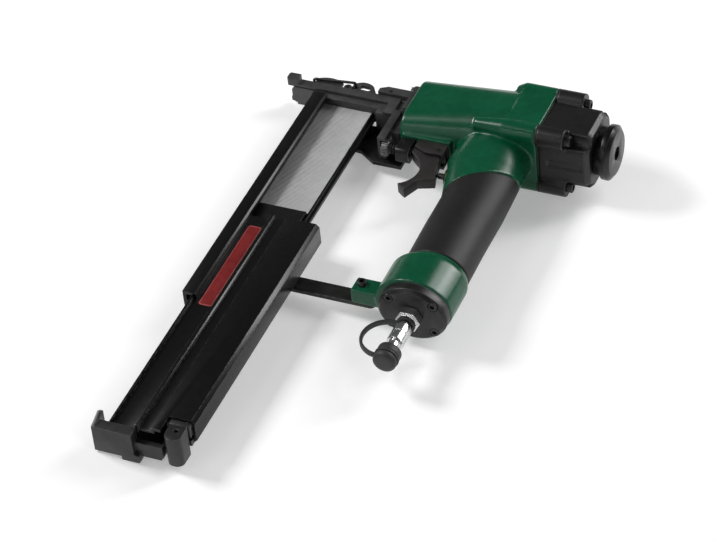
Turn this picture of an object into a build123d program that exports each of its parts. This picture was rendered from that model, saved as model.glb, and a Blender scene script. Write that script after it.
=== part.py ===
from build123d import *
import os
from math import cos, pi, sin, sqrt

# Pneumatic nail and staple gun, lying on its side, magazine drawn open.
# X runs along the drive axis, from the contact feet to the exhaust. The handle and the
# magazine run towards -Y, and Z is across the tool. All sizes are in millimetres.

# Clearances
seat_gap = 0.05
slide_gap = 0.3
pin_fit = 0.05
wide_gap = 0.5
hole_end_gap = 0.2
pin_drill = 20.0

# Facets of the plain screws
screw_head_sides = 16
screw_shank_sides = 8

# Stations along the drive axis
nose_tip_x = 0.0
nose_flange_x = 87.0
housing_front_x = 93.0
flange_front_x = 168.0
flange_rear_x = 192.0
gasket_t = 0.8
cap_rear_x = 229.0
lug_rear_x = 212.0
deflector_front_x = 229.5
deflector_rear_x = 241.0

# Barrel casting
barrel_front_top_y = 24.0
barrel_front_low_y = -31.0
barrel_front_half_z = 17.8
barrel_front_corner_r = 13.0
barrel_rear_d = 55.4
barrel_rear_corner_r = 24.0
flange_w = 53.0
flange_corner_r = 9.0
boss_offset = 20.3
boss_r = 7.6
boss_run = 22.0
boss_top_run = 6.0
boss_tip_r = 4.5
pad_past_bracket = 1.0
pad_root = 12.0
pad_side = 2.0
cap_screw_r = 2.2
cap_screw_depth = 20.0
cap_screw_head_r = 4.0
cap_screw_head_h = 4.0

# Cylinder, piston and driver
cylinder_inner_r = 13.4
cylinder_wall = 1.8
cylinder_front_x = 101.0
cylinder_flange_w = 2.8
cylinder_flange_t = 4.5
seal_wire_r = 0.55
seal_groove_depth = 1.2
seal_side_gap = 0.1
seal_front_x = 109.0
seal_rear_x = 178.0
piston_gap = 0.1
piston_front_x = 174.0
piston_length = 14.0
piston_groove_w = 2.2
piston_groove_depth = 1.6
piston_groove_x = 8.0
piston_edge = 1.5
piston_dish_depth = 3.0
piston_rim = 4.3
blade_half_t = 0.62
blade_half_w = 2.9
blade_tip_x = 64.6
blade_end_web = 4.0
blade_hole_r = 4.0
bumper_length = 9.0
bumper_hole_r = 5.0
bumper_gap = 0.2
bumper_edge = 2.5

# Head valve in the rear cap
head_valve_length = 11.0
head_valve_gap = 0.4
head_valve_face_t = 4.0
head_valve_wall = 2.0
head_bore_r = 20.1
head_bore_end_x = 220.0
head_stem_r = 5.0
head_spring_r = 9.0
head_spring_wire_r = 0.7
head_spring_turns = 3
head_spring_play = 2.0
head_spring_seat = 0.8

# Rear cap and exhaust
cap_w = 48.0
cap_corner_r = 14.0
cap_rear_edge = 3.0
cap_taper = 1.0
cap_scallop = 1.5
cap_web_groove = 3.0
cap_groove_front = 6.0
cap_groove_rear = 5.0
cap_groove_depth = 1.2
exhaust_port_r = 3.2
exhaust_port_pcd = 26.0
exhaust_port_count = 6
deflector_r = 19.5
deflector_neck_r = 17.0
deflector_disc_t = 6.5
deflector_hollow = 4.0
deflector_hub_r = 8.0
deflector_slot_web = 1.6
deflector_wall = 2.5
deflector_slot_w = 4.4
deflector_slot_count = 5
deflector_rim = (2.5, 3.5)
exhaust_screw_r = 2.4
exhaust_screw_head_r = 4.6
exhaust_screw_head_h = 3.0
exhaust_screw_sink = 2.0

# Handle
handle_x = 168.5
root_top_depth = 8.0
root_mid_depth = 46.0
grip_top_depth = 84.0
grip_swell_depth = 118.0
grip_end_depth = 152.0
root_centre_x = 162.0
root_half_x = 27.5
root_top_half_x = 26.0
root_half_z = 18.5
grip_half_x = 22.9
grip_half_z = 19.2
grip_neck_half_x = 23.0
grip_x = 167.7
core_half_x = 18.8
core_half_z = 16.2
air_half_x = 14.6
air_half_z = 12.4
air_top_depth = 36.0
oval_end_ratio = 0.8
grip_edge_front = (146.0, -80.0)
grip_edge_rear = (191.0, -52.0)
collar_x = 166.5
collar_half_x = 27.0
collar_half_z = 22.5
collar_shoulder = 6.0
collar_end_depth = 187.0
lug_tip_x = 121.0
lug_y_low = -186.0
lug_y_high = -172.0
lug_top_z = 2.0
lug_screw_web = 2.0

# Handle end
end_cap_half_x = 24.5
end_cap_half_z = 21.2
end_cap_t = 7.5
end_cap_edge = 2.2
gasket_lap_x = 3.0
gasket_lap_z = 2.0
end_screw_x = 15.5
end_screw_z = 11.0
end_screw_r = 1.8
end_screw_head_r = 3.2
end_screw_head_h = 2.4
end_screw_depth = 16.0
plug_hex_flats = 15.0
plug_hex_t = 8.0
plug_hex_edge = 0.8
plug_neck_r = 4.6
plug_neck_l = 5.0
plug_body_r = 6.0
plug_body_l = 15.0
plug_body_edge = 0.8
plug_groove_r = 4.3
plug_groove_l = 5.0
plug_tip_r = 5.3
plug_tip_l = 9.5
plug_tip_edge = 1.0
plug_nose_l = 3.0
plug_nose_in = 1.4
plug_bore_r = 3.2
plug_thread_r = 6.4
plug_thread_l = 11.0
dust_cap_r = 8.2
dust_cap_l = 13.0
dust_cap_floor = 3.0
dust_cap_start = 35.5
dust_cap_slack = 0.35
dust_cap_edge = 2.4
dust_cap_groove_w = 2.6
dust_cap_groove_y = 5.5
dust_cap_groove_depth = 1.2
strap_w = 3.6
strap_t = 2.0
strap_ring_t = 1.8
strap_ring_w = 2.0
strap_ring_in = 1.5
strap_ring_proud = 0.4
strap_root_in = 1.2
strap_tip_in = 0.4
strap_cut = 4.0
strap_loop_out = 23.5
strap_loop_run = 25.7

# Trigger group
trigger_pivot = (126.0, -39.0)
trigger_pin_r = 1.5
trigger_hub_r = 4.0
trigger_half_z = 4.2
trigger_ear_t = 2.0
trigger_front = (107.5, -38.5)
trigger_chin = (107.5, -43.5)
trigger_lip = (112.0, -47.5)
trigger_finger_mid = (119.8, -61.5)
trigger_tip = (110.6, -77.6)
trigger_toe = (117.2, -82.3)
trigger_blade_back = (122.4, -70.5)
trigger_back_low = (133.5, -66.5)
trigger_back_mid = (131.0, -58.0)
trigger_back_top = (128.5, -44.0)
trigger_pad_y = -32.5
bracket_front_x = 108.5
bracket_rear_x = 130.4
bracket_roof_t = 2.0
bracket_side_low_y = -44.0
bracket_slope_x = 9.0
bracket_slope_y = 4.0
valve_y = -58.0
valve_front_x = 138.5
valve_rear_x = 156.0
valve_r = 7.0
valve_chamber_r = 5.0
valve_chamber_x = 144.0
valve_seat_front = 8.0
valve_seat_rear = 4.0
valve_edge = 1.0
valve_floor_t = 1.5
valve_port_r = 1.5
stem_r = 2.2
stem_tip_x = 131.5
stem_tip_r = 1.4
stem_tip_l = 1.5
stem_head_r = 4.2
stem_head_x = 147.0
stem_head_t = 2.5
valve_spring_r = 2.8
valve_spring_wire_r = 0.3
valve_spring_turns = 2

# Nose
nose_back_y = -9.0
nose_root_y = -14.0
nose_root_x = 68.0
nose_step_x = 17.0
nose_front_y = -4.2
nose_half_z = 6.5
nose_edge = 2.0
split_y = 0.75
channel_half_z = 3.1
channel_half_y = 0.75
nose_flange_half_z = 12.0
hinge_front_x = 63.0
hinge_low_y = 3.9
hinge_top_y = 13.0
hinge_half_z = 10.5
hinge_slope = 5.0
hinge_crest = 4.0
hinge_root_in = 2.0
hinge_set_back = 2.0
nose_flange_top_y = 18.0
nose_flange_round = 4.0
nose_screw_y = 13.0
nose_screw_z = 8.4
nose_screw_low_y = -22.0
nose_screw_low_z = 3.4
nose_screw_r = 1.9
nose_screw_head_r = 2.6
nose_screw_head_h = 2.4
nose_screw_depth = 13.0
door_front_x = 2.0
door_rear_x = 62.0
door_t = 3.0
door_half_z = 6.2
door_pivot = (72.0, 6.5)
door_pin_r = 1.4
door_knuckle_r = 2.8
door_knuckle_half_z = 4.2
knuckle_gap = 0.8
knuckle_slot_top = 1.0
knuckle_root_in = 2.0
knuckle_root_y = 1.0
hook_x = 14.0
hook_l = 20.0
hook_inner_z = 4.6
hook_end_y = 10.0
hook_crown_y = 13.0
latch_pivot = (38.0, 8.0)
latch_bail_pivot = (43.0, 11.0)
latch_crown_front = (38.5, 17.0)
latch_crown = (46.0, 20.8)
latch_crown_rear = (53.5, 18.0)
latch_tip = (57.5, 11.8)
latch_eye = (48.0, 15.0)
latch_eye_l = 4.4
latch_eye_w = 4.6
latch_eye_turn = -4.0
latch_plate_half_z = 1.5
latch_pin_r = 1.3
latch_half_z = 3.6
latch_ear_t = 1.8
latch_ear_wall = 0.4
latch_hub_r = 2.5
bail_wire_r = 1.0
bail_half_z = 7.9
bail_hook_y = 7.2
bail_end_in = 2.6
bail_bend_r = 1.5
bail_wire_sides = 8

# Contact yoke and depth setting
foot_tip_x = -3.5
yoke_t = 2.0
yoke_inner_z = 6.9
foot_rear_x = 5.0
foot_half_y = 3.5
foot_low_y = 0.0
foot_outer_z = 13.0
foot_under_z = 9.4
foot_lap = 2.0
foot_round = 1.5
yoke_arm_low_y = -3.5
yoke_arm_high_y = 3.0
yoke_arm_end_x = 81.2
yoke_leg_front_x = 74.0
yoke_leg_rear_x = 86.8
yoke_leg_top_y = -9.4
yoke_step_y = -14.5
yoke_low_y = -42.0
rod_y = -40.0
rod_r = 2.0
rod_end_x = 103.0
yoke_tab_t = 2.0
guide_front_x = 96.0
guide_rear_x = 106.0
guide_low_y = -47.0
guide_half_z = 6.0
guide_round = 3.0
wheel_front_x = 84.2
wheel_t = 5.0
wheel_r = 6.2
wheel_side_count = 10
yoke_spring_r = 3.4
yoke_spring_wire_r = 0.5
yoke_spring_turns = 3

# Magazine rail, fixed to the nose and to the handle lug
rail_left_x = 20.0
rail_wall = 2.5
rail_top_z = 11.0
rail_lip_x = 30.0
rail_lip_t = 2.2
rail_lip_edge = 1.2
rail_hook_x = 28.2
rail_hook_z = 6.4
rail_shelf_x = 25.4
rail_shelf_low_z = 1.5
rail_shelf_z = 3.7
rail_floor_z = -0.8
rail_floor_t = 2.4
rail_floor_right_x = 66.5
rail_lip_right_x = 63.0
rail_lip_right_t = 1.2
rail_lip_right_z = 0.9
rail_foot_x = 33.0
rail_foot_z = -9.5
rail_foot_t = 2.0
rail_end_y = -229.0
magazine_travel = 124.0
catch_y = -204.0
catch_l = 5.0
catch_depth = 1.4

# Nail strip
nail_length = 38.0
nail_pitch = 1.27
nail_half_t = 0.62
nail_head_half_t = 0.95
nail_count = 95
strip_front_y = -0.9
strip_gap = 0.2
nail_point_gap = 0.8
nail_groove_w = 0.381
nail_groove_depth = 0.124

# Sliding magazine cover
cover_front_y = -140.0
cover_rear_y = -353.6
cover_wall = 2.0
cover_rib_x = 26.2
cover_rib_t = 1.7
cover_rib_z = 8.4
cover_ledge_z = 6.0
cover_step_x = 44.5
cover_bead_x = 48.0
cover_top_z = 10.5
cover_groove_z = 8.0
cover_groove_x = 56.0
cover_right_x = 80.3
cover_low_z = -7.6
cover_edge = 2.0
cover_top_edge = 2.4
cover_bead_edge = 1.0
cover_right_rear_y = -340.0
cover_low_left_x = 36.0
cover_guide_x = 64.9
cover_guide_low_x = 62.0
cover_guide_t = 2.0
label_x0 = 32.5
label_x1 = 42.5
label_front_y = -150.0
label_rear_y = -233.0
label_t = 0.3
label_round = 2.0

# Pusher
pusher_front_gap = 0.3
pusher_x0 = 25.8
pusher_x1 = 62.2
pusher_top_z = 3.4
pusher_length = 30.0
pusher_edge = 1.2
pusher_arm_lap = 2.0
carriage_x0 = 66.8
carriage_x1 = 77.2
carriage_z0 = 1.9
carriage_top_gap = 0.6
carriage_front_y = -143.0
carriage_rear_y = -163.0
rod_x = 74.4
rod_z = 5.0
pusher_rod_r = 1.5
band_x0 = 67.3
band_x1 = 71.9
band_t = 0.2
band_roll_r = 2.9
band_roll_y = -158.6
band_top_gap = 0.25
band_pocket_r = 3.4
rod_web_t = 2.0
rod_web_in = 1.0
rod_seat_web = 1.0

# Magazine end plate and release
plate_left_x = 17.0
plate_left_t = 8.0
plate_t = 4.0
plate_left_right_x = 45.0
plate_left_top_z = 8.0
plate_low_z = -12.5
plate_mid_top_z = -1.5
plate_right_x0 = 62.5
plate_web_t = 1.5
plate_web_rise = 2.0
plate_right_top_z = 8.5
ear_x1 = 19.4
ear_peak = (-350.5, 12.0)
ear_front_y = -347.5
ear_slope = 2.0
plate_tab_x0 = 36.0
plate_tab_x1 = 48.5
plate_tab_low_z = -15.5
plate_tab_in = 2.0
plate_tab_lap = 3.0
release_x0 = 66.0
release_x1 = 77.5
release_round = 5.0
release_low_z = -13.5
release_top_z = 10.0
release_front_y = -345.5
release_rear_y = -359.0
release_pin_x = 72.0
release_pin_y = -350.5
release_pin_r = 1.5
release_lug_t = 3.0
release_lug_half_x = 3.0
release_slot_half_x = 5.0
release_lug_z = 4.0
release_lug_rear_y = -353.5
release_arm_x0 = 67.6
release_arm_x1 = 70.4
release_arm_z0 = -3.1
release_arm_z1 = -0.9
release_arm_tip_y = -326.0
release_arm_lap = 2.0
release_tooth_x = 66.85
release_tooth_l = 4.0

# Magazine carriers
carrier_t = 3.0
carrier_in = 1.0
carrier_neck_y = -34.0
carrier_end_y = -45.0
bracket_y = -178.5
bracket_w = 13.0
bracket_right_x = 137.0
bracket_screw_r = 1.9
bracket_screw_head_r = 3.4
bracket_screw_head_h = 2.0
bracket_round = 4.0
pad_screw_depth = 3.0
carrier_screw_x = 27.0
carrier_screw_ys = (-17.0, -37.0)
lug_screw_x = 130.0
pad_x0 = 67.6
pad_x1 = 73.2
pad_y0 = -13.8
pad_y1 = -4.6
shield_rear_x = 92.0
shield_low_y = -46.0
shield_toe_x = 99.0
shield_step_y = -35.0
shield_slope = 2.0
shield_low_x = 78.0
shield_front = (66.0, -38.0)
pad_margin = 2.0

os.makedirs("parts", exist_ok=True)

START = (Align.CENTER, Align.CENTER, Align.MIN)


def save(piece, name):
    """Label a finished piece and write it as its own file."""
    piece.part.label = name
    export_step(piece.part, f"parts/{name}.step")


def along_x(x, y=0.0, z=0.0):
    """Place for a round that starts there and runs towards +X."""
    return Location((x, y, z), (0, 90, 0))


def along_back(x, y, z=0.0):
    """Place for a round that starts there and runs towards -Y."""
    return Location((x, y, z), (90, 0, 0))


def block(x0, x1, y0, y1, z0, z1, mode=Mode.ADD):
    """Box between two corners, in the part that is being built."""
    with Locations(((x0 + x1) / 2, (y0 + y1) / 2, (z0 + z1) / 2)):
        Box(x1 - x0, y1 - y0, z1 - z0, mode=mode)


def round_x(x0, x1, radius, y=0.0, z=0.0, mode=Mode.ADD):
    """Cylinder along X between two stations."""
    with Locations(along_x(x0, y, z)):
        Cylinder(radius, x1 - x0, align=START, mode=mode)


def round_y(y0, y1, radius, x, z=0.0, mode=Mode.ADD):
    """Cylinder along Y, from the upper station y0 down to y1."""
    with Locations(along_back(x, y0, z)):
        Cylinder(radius, y0 - y1, align=START, mode=mode)


def round_z(z0, z1, radius, x, y, mode=Mode.ADD):
    """Cylinder along Z between two heights."""
    with Locations((x, y, z0)):
        Cylinder(radius, z1 - z0, align=START, mode=mode)


def oval(depth, centre_x, half_x, half_z):
    """Oval section of the handle at a depth below the drive axis."""
    with BuildSketch(Plane.XZ.offset(depth)) as section:
        with Locations((centre_x, 0)):
            Ellipse(half_x, half_z)
    return section.sketch


def arc_oval(depth, centre_x, half_x, half_z):
    """Oval section drawn with four arcs, for the straight runs of the handle."""
    end_r = oval_end_ratio * half_z
    reach = half_x - end_r
    side_r = (reach ** 2 + half_z ** 2 - end_r ** 2) / (2 * (half_z - end_r))
    join_x = reach + end_r * reach / (side_r - end_r)
    join_z = end_r * (side_r - half_z) / (side_r - end_r)
    left_x, right_x = centre_x - join_x, centre_x + join_x
    with BuildSketch(Plane.XZ.offset(depth)) as section:
        with BuildLine():
            ThreePointArc((left_x, join_z), (centre_x, half_z), (right_x, join_z))
            ThreePointArc((right_x, join_z), (centre_x + half_x, 0), (right_x, -join_z))
            ThreePointArc((right_x, -join_z), (centre_x, -half_z), (left_x, -join_z))
            ThreePointArc((left_x, -join_z), (centre_x - half_x, 0), (left_x, join_z))
        make_face()
    return section.sketch


def coil_spring(name, radius, wire_r, length, turns, wire_sides=6):
    """Coil that climbs along +Z, each part of a turn as two arcs; prints its least gap to itself."""
    parts_per_turn = 4
    spans = parts_per_turn * turns
    swing = 2 * pi / parts_per_turn
    rise = length / spans

    def point(i):
        return Vector(radius * cos(swing * i), radius * sin(swing * i), rise * i)

    def heading(i):
        return Vector(-radius * sin(swing * i), radius * cos(swing * i), rise / swing).normalized()

    with BuildPart() as coil:
        with BuildLine() as path:
            for i in range(spans):
                start, end = point(i), point(i + 1)
                first, last = heading(i), heading(i + 1)
                chord = end - start
                both = first + last
                lean = chord.dot(both)
                square = both.dot(both) - 4
                reach = (lean - sqrt(lean * lean - square * chord.dot(chord))) / square
                inner = start + first * reach
                outer = end - last * reach
                middle = (inner + outer) * 0.5
                TangentArc(start, middle, tangent=first)
                TangentArc(middle, end, tangent=(outer - inner).normalized())
        with BuildSketch(Plane(path.line @ 0, z_dir=path.line % 0)):
            RegularPolygon(wire_r, wire_sides)
        sweep()
    samples = [edge @ (k / 4) for edge in path.line.edges() for k in range(4)]
    half_turn = 4 * parts_per_turn
    pairs = [(p, q) for i, p in enumerate(samples) for q in samples[i + half_turn:i + 3 * half_turn]]
    least = min((p - q).length for p, q in pairs) - 2 * wire_r
    print(f"{name}: least gap to itself {least:.2f} mm")
    return coil.part


def screw(head_r, head_h, shank_r, shank_l):
    """Plain screw with its head's seat at the origin and its shank along -Z."""
    with BuildPart() as piece:
        with BuildSketch():
            RegularPolygon(head_r, screw_head_sides)
        extrude(amount=head_h)
        with BuildSketch():
            RegularPolygon(shank_r, screw_shank_sides)
        extrude(amount=-shank_l)
    return piece.part


# Handle forms shared by the housing and the grip
with BuildPart() as handle_form:
    loft(
        sections=[
            oval(root_top_depth, root_centre_x, root_top_half_x, root_half_z),
            oval(root_mid_depth, root_centre_x, root_half_x, root_half_z),
            oval(grip_top_depth, grip_x, grip_neck_half_x, grip_half_z),
            oval(grip_swell_depth, grip_x, grip_half_x, grip_half_z),
            oval(grip_end_depth, handle_x, grip_half_x, grip_half_z),
        ],
        ruled=True,
    )

grip_edge_along = Vector(*grip_edge_rear, 0) - Vector(*grip_edge_front, 0)
grip_edge = Plane(
    origin=(*grip_edge_front, 0),
    x_dir=grip_edge_along,
    z_dir=Vector(-grip_edge_along.Y, grip_edge_along.X, 0),
)

with BuildPart() as handle_root:
    add(handle_form.part)
    split(bisect_by=grip_edge, keep=Keep.TOP)

cylinder_outer_r = cylinder_inner_r + cylinder_wall
cylinder_flange_r = cylinder_outer_r + cylinder_flange_w
piston_r = cylinder_inner_r - piston_gap
head_valve_r = head_bore_r - slide_gap
cylinder_rear_x = flange_rear_x - cylinder_flange_t
cap_front_x = flange_rear_x + gasket_t
blade_rear_x = piston_front_x + piston_length - blade_end_web
boss_points = [(s * boss_offset, t * boss_offset) for s in (-1, 1) for t in (-1, 1)]
rail_floor_low_z = rail_floor_z - rail_floor_t
carrier_low_z = rail_foot_z - carrier_t
cover_under_z = cover_top_z - cover_wall
carriage_z1 = cover_under_z - carriage_top_gap
band_top_z = cover_under_z - band_top_gap
band_roll_z = band_top_z - band_roll_r

# Main housing: barrel, handle root, handle core, collar and magazine lug in one casting
with BuildPart() as main_housing:
    front_height = barrel_front_top_y - barrel_front_low_y
    with BuildSketch(Plane.YZ.offset(housing_front_x)):
        with Locations(((barrel_front_top_y + barrel_front_low_y) / 2, 0)):
            RectangleRounded(front_height, 2 * barrel_front_half_z, barrel_front_corner_r)
    with BuildSketch(Plane.YZ.offset(flange_front_x)):
        RectangleRounded(barrel_rear_d, barrel_rear_d, barrel_rear_corner_r)
    loft()
    with BuildSketch(Plane.YZ.offset(flange_front_x)):
        RectangleRounded(flange_w, flange_w, flange_corner_r)
        with Locations(*boss_points):
            Circle(boss_r)
    extrude(amount=flange_rear_x - flange_front_x)
    for y, z in boss_points:
        with Locations(Location((flange_front_x, y, z), (0, -90, 0))):
            Cone(boss_r, boss_tip_r, boss_top_run if y > 0 else boss_run, align=START)
    add(handle_root.part)
    core = arc_oval(root_mid_depth, handle_x, core_half_x, core_half_z)
    extrude(core, amount=grip_end_depth - root_mid_depth + collar_shoulder)
    shoulder = arc_oval(grip_end_depth + collar_shoulder, collar_x, collar_half_x, collar_half_z)
    loft(sections=[arc_oval(grip_end_depth, handle_x, grip_half_x, grip_half_z), shoulder])
    extrude(shoulder, amount=collar_end_depth - grip_end_depth - collar_shoulder)
    block(lug_tip_x, handle_x - air_half_x, lug_y_low, lug_y_high, rail_foot_z, lug_top_z)
    block(
        guide_front_x - slide_gap, bracket_rear_x + pad_past_bracket,
        trigger_pad_y, barrel_front_low_y + pad_root,
        -guide_half_z - pad_side, guide_half_z + pad_side,
    )
    # Barrel bore, blade hole and cylinder seat
    round_x(cylinder_front_x, flange_rear_x, cylinder_outer_r + seat_gap, mode=Mode.SUBTRACT)
    round_x(cylinder_rear_x, flange_rear_x, cylinder_flange_r + seat_gap, mode=Mode.SUBTRACT)
    round_x(housing_front_x, cylinder_front_x, blade_hole_r, mode=Mode.SUBTRACT)
    # Air space in the handle
    air_space = arc_oval(collar_end_depth, handle_x, air_half_x, air_half_z)
    extrude(air_space, amount=air_top_depth - collar_end_depth, mode=Mode.SUBTRACT)
    # Trigger valve seat
    round_x(
        valve_front_x - valve_seat_front, valve_rear_x + valve_seat_rear, valve_r + seat_gap, valve_y,
        mode=Mode.SUBTRACT,
    )
    # Screw holes
    for y, z in boss_points:
        round_x(flange_rear_x - cap_screw_depth, flange_rear_x, cap_screw_r + seat_gap, y, z, Mode.SUBTRACT)
    for y, z in (
        (nose_screw_y, nose_screw_z), (nose_screw_y, -nose_screw_z),
        (nose_screw_low_y, nose_screw_low_z), (nose_screw_low_y, -nose_screw_low_z),
    ):
        round_x(
            housing_front_x, nose_flange_x + nose_screw_depth + hole_end_gap, nose_screw_r + seat_gap,
            y, z, Mode.SUBTRACT,
        )
    for sx in (-1, 1):
        for sz in (-1, 1):
            round_y(
                -collar_end_depth + end_screw_depth, -collar_end_depth, end_screw_r + seat_gap,
                handle_x + sx * end_screw_x, sz * end_screw_z, Mode.SUBTRACT,
            )
    round_z(
        rail_foot_z, lug_top_z - lug_screw_web, bracket_screw_r + seat_gap, lug_screw_x, bracket_y,
        Mode.SUBTRACT,
    )
save(main_housing, "main_housing")

# Rubber grip sleeve over the handle core
with BuildPart() as grip_sleeve:
    add(handle_form.part)
    split(bisect_by=grip_edge.offset(-seat_gap), keep=Keep.BOTTOM)
    core_seat = arc_oval(root_top_depth, handle_x, core_half_x + seat_gap, core_half_z + seat_gap)
    extrude(core_seat, amount=collar_end_depth, mode=Mode.SUBTRACT)
save(grip_sleeve, "grip_sleeve")

# Cylinder sleeve with its rear flange and seal grooves
seal_t = 2 * seal_wire_r
seal_groove_w = seal_t + 2 * seal_side_gap
with BuildPart() as cylinder_sleeve:
    round_x(cylinder_front_x, flange_rear_x - seat_gap, cylinder_outer_r)
    round_x(cylinder_rear_x, flange_rear_x - seat_gap, cylinder_flange_r)
    for x in (seal_front_x, seal_rear_x):
        with Locations(along_x(x - seal_wire_r - seal_side_gap)):
            Cylinder(cylinder_outer_r, seal_groove_w, align=START, mode=Mode.SUBTRACT)
            Cylinder(cylinder_outer_r - seal_groove_depth, seal_groove_w, align=START)
    round_x(cylinder_front_x, flange_rear_x, cylinder_inner_r, mode=Mode.SUBTRACT)
save(cylinder_sleeve, "cylinder_sleeve")

with BuildPart() as cylinder_seals:
    for x in (seal_front_x, seal_rear_x):
        with Locations(along_x(x - seal_wire_r)):
            Cylinder(cylinder_outer_r - seat_gap, seal_t, align=START)
            Cylinder(
                cylinder_outer_r - seal_groove_depth + seat_gap, seal_t, align=START,
                mode=Mode.SUBTRACT,
            )
save(cylinder_seals, "cylinder_seals")

# Rubber bumper that stops the piston
with BuildPart() as bumper:
    round_x(cylinder_front_x, cylinder_front_x + bumper_length, cylinder_inner_r - bumper_gap)
    chamfer(bumper.edges().filter_by(GeomType.CIRCLE).group_by(Axis.X)[-1], bumper_edge)
    round_x(cylinder_front_x, cylinder_front_x + bumper_length, bumper_hole_r, mode=Mode.SUBTRACT)
save(bumper, "bumper")

# Piston, its ring and the driver blade
with BuildPart() as piston:
    round_x(piston_front_x, piston_front_x + piston_length, piston_r)
    chamfer(piston.edges().filter_by(GeomType.CIRCLE).group_by(Axis.X)[0], piston_edge)
    with Locations(along_x(piston_front_x + piston_groove_x)):
        Cylinder(piston_r, piston_groove_w, align=START, mode=Mode.SUBTRACT)
        Cylinder(piston_r - piston_groove_depth, piston_groove_w, align=START)
    piston_rear_x = piston_front_x + piston_length
    round_x(piston_rear_x - piston_dish_depth, piston_rear_x, piston_r - piston_rim, mode=Mode.SUBTRACT)
    block(
        piston_front_x, blade_rear_x, -blade_half_t - seat_gap, blade_half_t + seat_gap,
        -blade_half_w - seat_gap, blade_half_w + seat_gap, Mode.SUBTRACT,
    )
save(piston, "piston")

with BuildPart() as piston_ring:
    with Locations(along_x(piston_front_x + piston_groove_x + seat_gap)):
        Cylinder(piston_r + seat_gap, piston_groove_w - 2 * seat_gap, align=START)
        Cylinder(
            piston_r - piston_groove_depth + seat_gap, piston_groove_w - 2 * seat_gap, align=START,
            mode=Mode.SUBTRACT,
        )
save(piston_ring, "piston_ring")

with BuildPart() as driver_blade:
    block(blade_tip_x, blade_rear_x - seat_gap, -blade_half_t, blade_half_t, -blade_half_w, blade_half_w)
save(driver_blade, "driver_blade")

# Rear cap: square dome with corner screw lugs, head-valve bore and exhaust ports
with BuildPart() as cylinder_cap:
    with BuildSketch(Plane.YZ.offset(cap_front_x)):
        RectangleRounded(cap_w, cap_w, cap_corner_r)
    extrude(amount=cap_rear_x - cap_front_x, taper=cap_taper)
    chamfer(cylinder_cap.faces().sort_by(Axis.X)[-1].edges(), cap_rear_edge)
    with BuildSketch(Plane.YZ.offset(cap_front_x)):
        with Locations(*boss_points):
            Circle(boss_r)
    extrude(amount=lug_rear_x - cap_front_x)
    for s in (-1, 1):
        block(
            cap_front_x + cap_groove_front, cap_rear_x - cap_groove_rear,
            s * cap_w / 2 - cap_groove_depth, s * cap_w / 2 + cap_groove_depth,
            -cap_web_groove, cap_web_groove, Mode.SUBTRACT,
        )
    round_x(cap_front_x, head_bore_end_x, head_bore_r, mode=Mode.SUBTRACT)
    round_x(cap_front_x, cap_rear_x, exhaust_screw_r + seat_gap, mode=Mode.SUBTRACT)
    with Locations(along_x(head_bore_end_x)):
        with PolarLocations(exhaust_port_pcd / 2, exhaust_port_count):
            Cylinder(exhaust_port_r, cap_rear_x - head_bore_end_x, align=START, mode=Mode.SUBTRACT)
    for y, z in boss_points:
        round_x(cap_front_x, lug_rear_x, cap_screw_r + slide_gap, y, z, Mode.SUBTRACT)
        round_x(lug_rear_x, cap_rear_x, cap_screw_head_r + cap_scallop, y, z, Mode.SUBTRACT)
save(cylinder_cap, "cylinder_cap")

with BuildPart() as cap_gasket:
    with BuildSketch(Plane.YZ.offset(flange_rear_x)):
        RectangleRounded(cap_w, cap_w, cap_corner_r)
        with Locations(*boss_points):
            Circle(boss_r)
        Circle(head_bore_r, mode=Mode.SUBTRACT)
        with Locations(*boss_points):
            Circle(cap_screw_r + slide_gap, mode=Mode.SUBTRACT)
    extrude(amount=gasket_t)
save(cap_gasket, "cap_gasket")

cap_screw = screw(
    cap_screw_head_r, cap_screw_head_h, cap_screw_r, lug_rear_x - flange_rear_x + cap_screw_depth - wide_gap,
)
with BuildPart() as cap_screws:
    for y, z in boss_points:
        add(cap_screw.moved(along_x(lug_rear_x, y, z)))
save(cap_screws, "cap_screws")

# Head valve and its spring
head_valve_x = cap_front_x + head_valve_gap
head_face_x = head_valve_x + head_valve_face_t
with BuildPart() as head_valve:
    round_x(head_valve_x, head_valve_x + head_valve_length, head_valve_r)
    with Locations(along_x(head_face_x)):
        Cylinder(head_valve_r - head_valve_wall, head_valve_length, align=START, mode=Mode.SUBTRACT)
        Cylinder(head_stem_r, head_valve_length - head_valve_face_t, align=START)
save(head_valve, "head_valve")

head_spring_start_x = head_face_x + wide_gap
with BuildPart() as head_valve_spring:
    coil = coil_spring(
        "head_valve_spring", head_spring_r, head_spring_wire_r,
        head_bore_end_x - head_spring_start_x - head_spring_play, head_spring_turns, wire_sides=4,
    )
    add(coil.moved(along_x(head_spring_start_x + head_spring_seat)))
save(head_valve_spring, "head_valve_spring")

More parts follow.
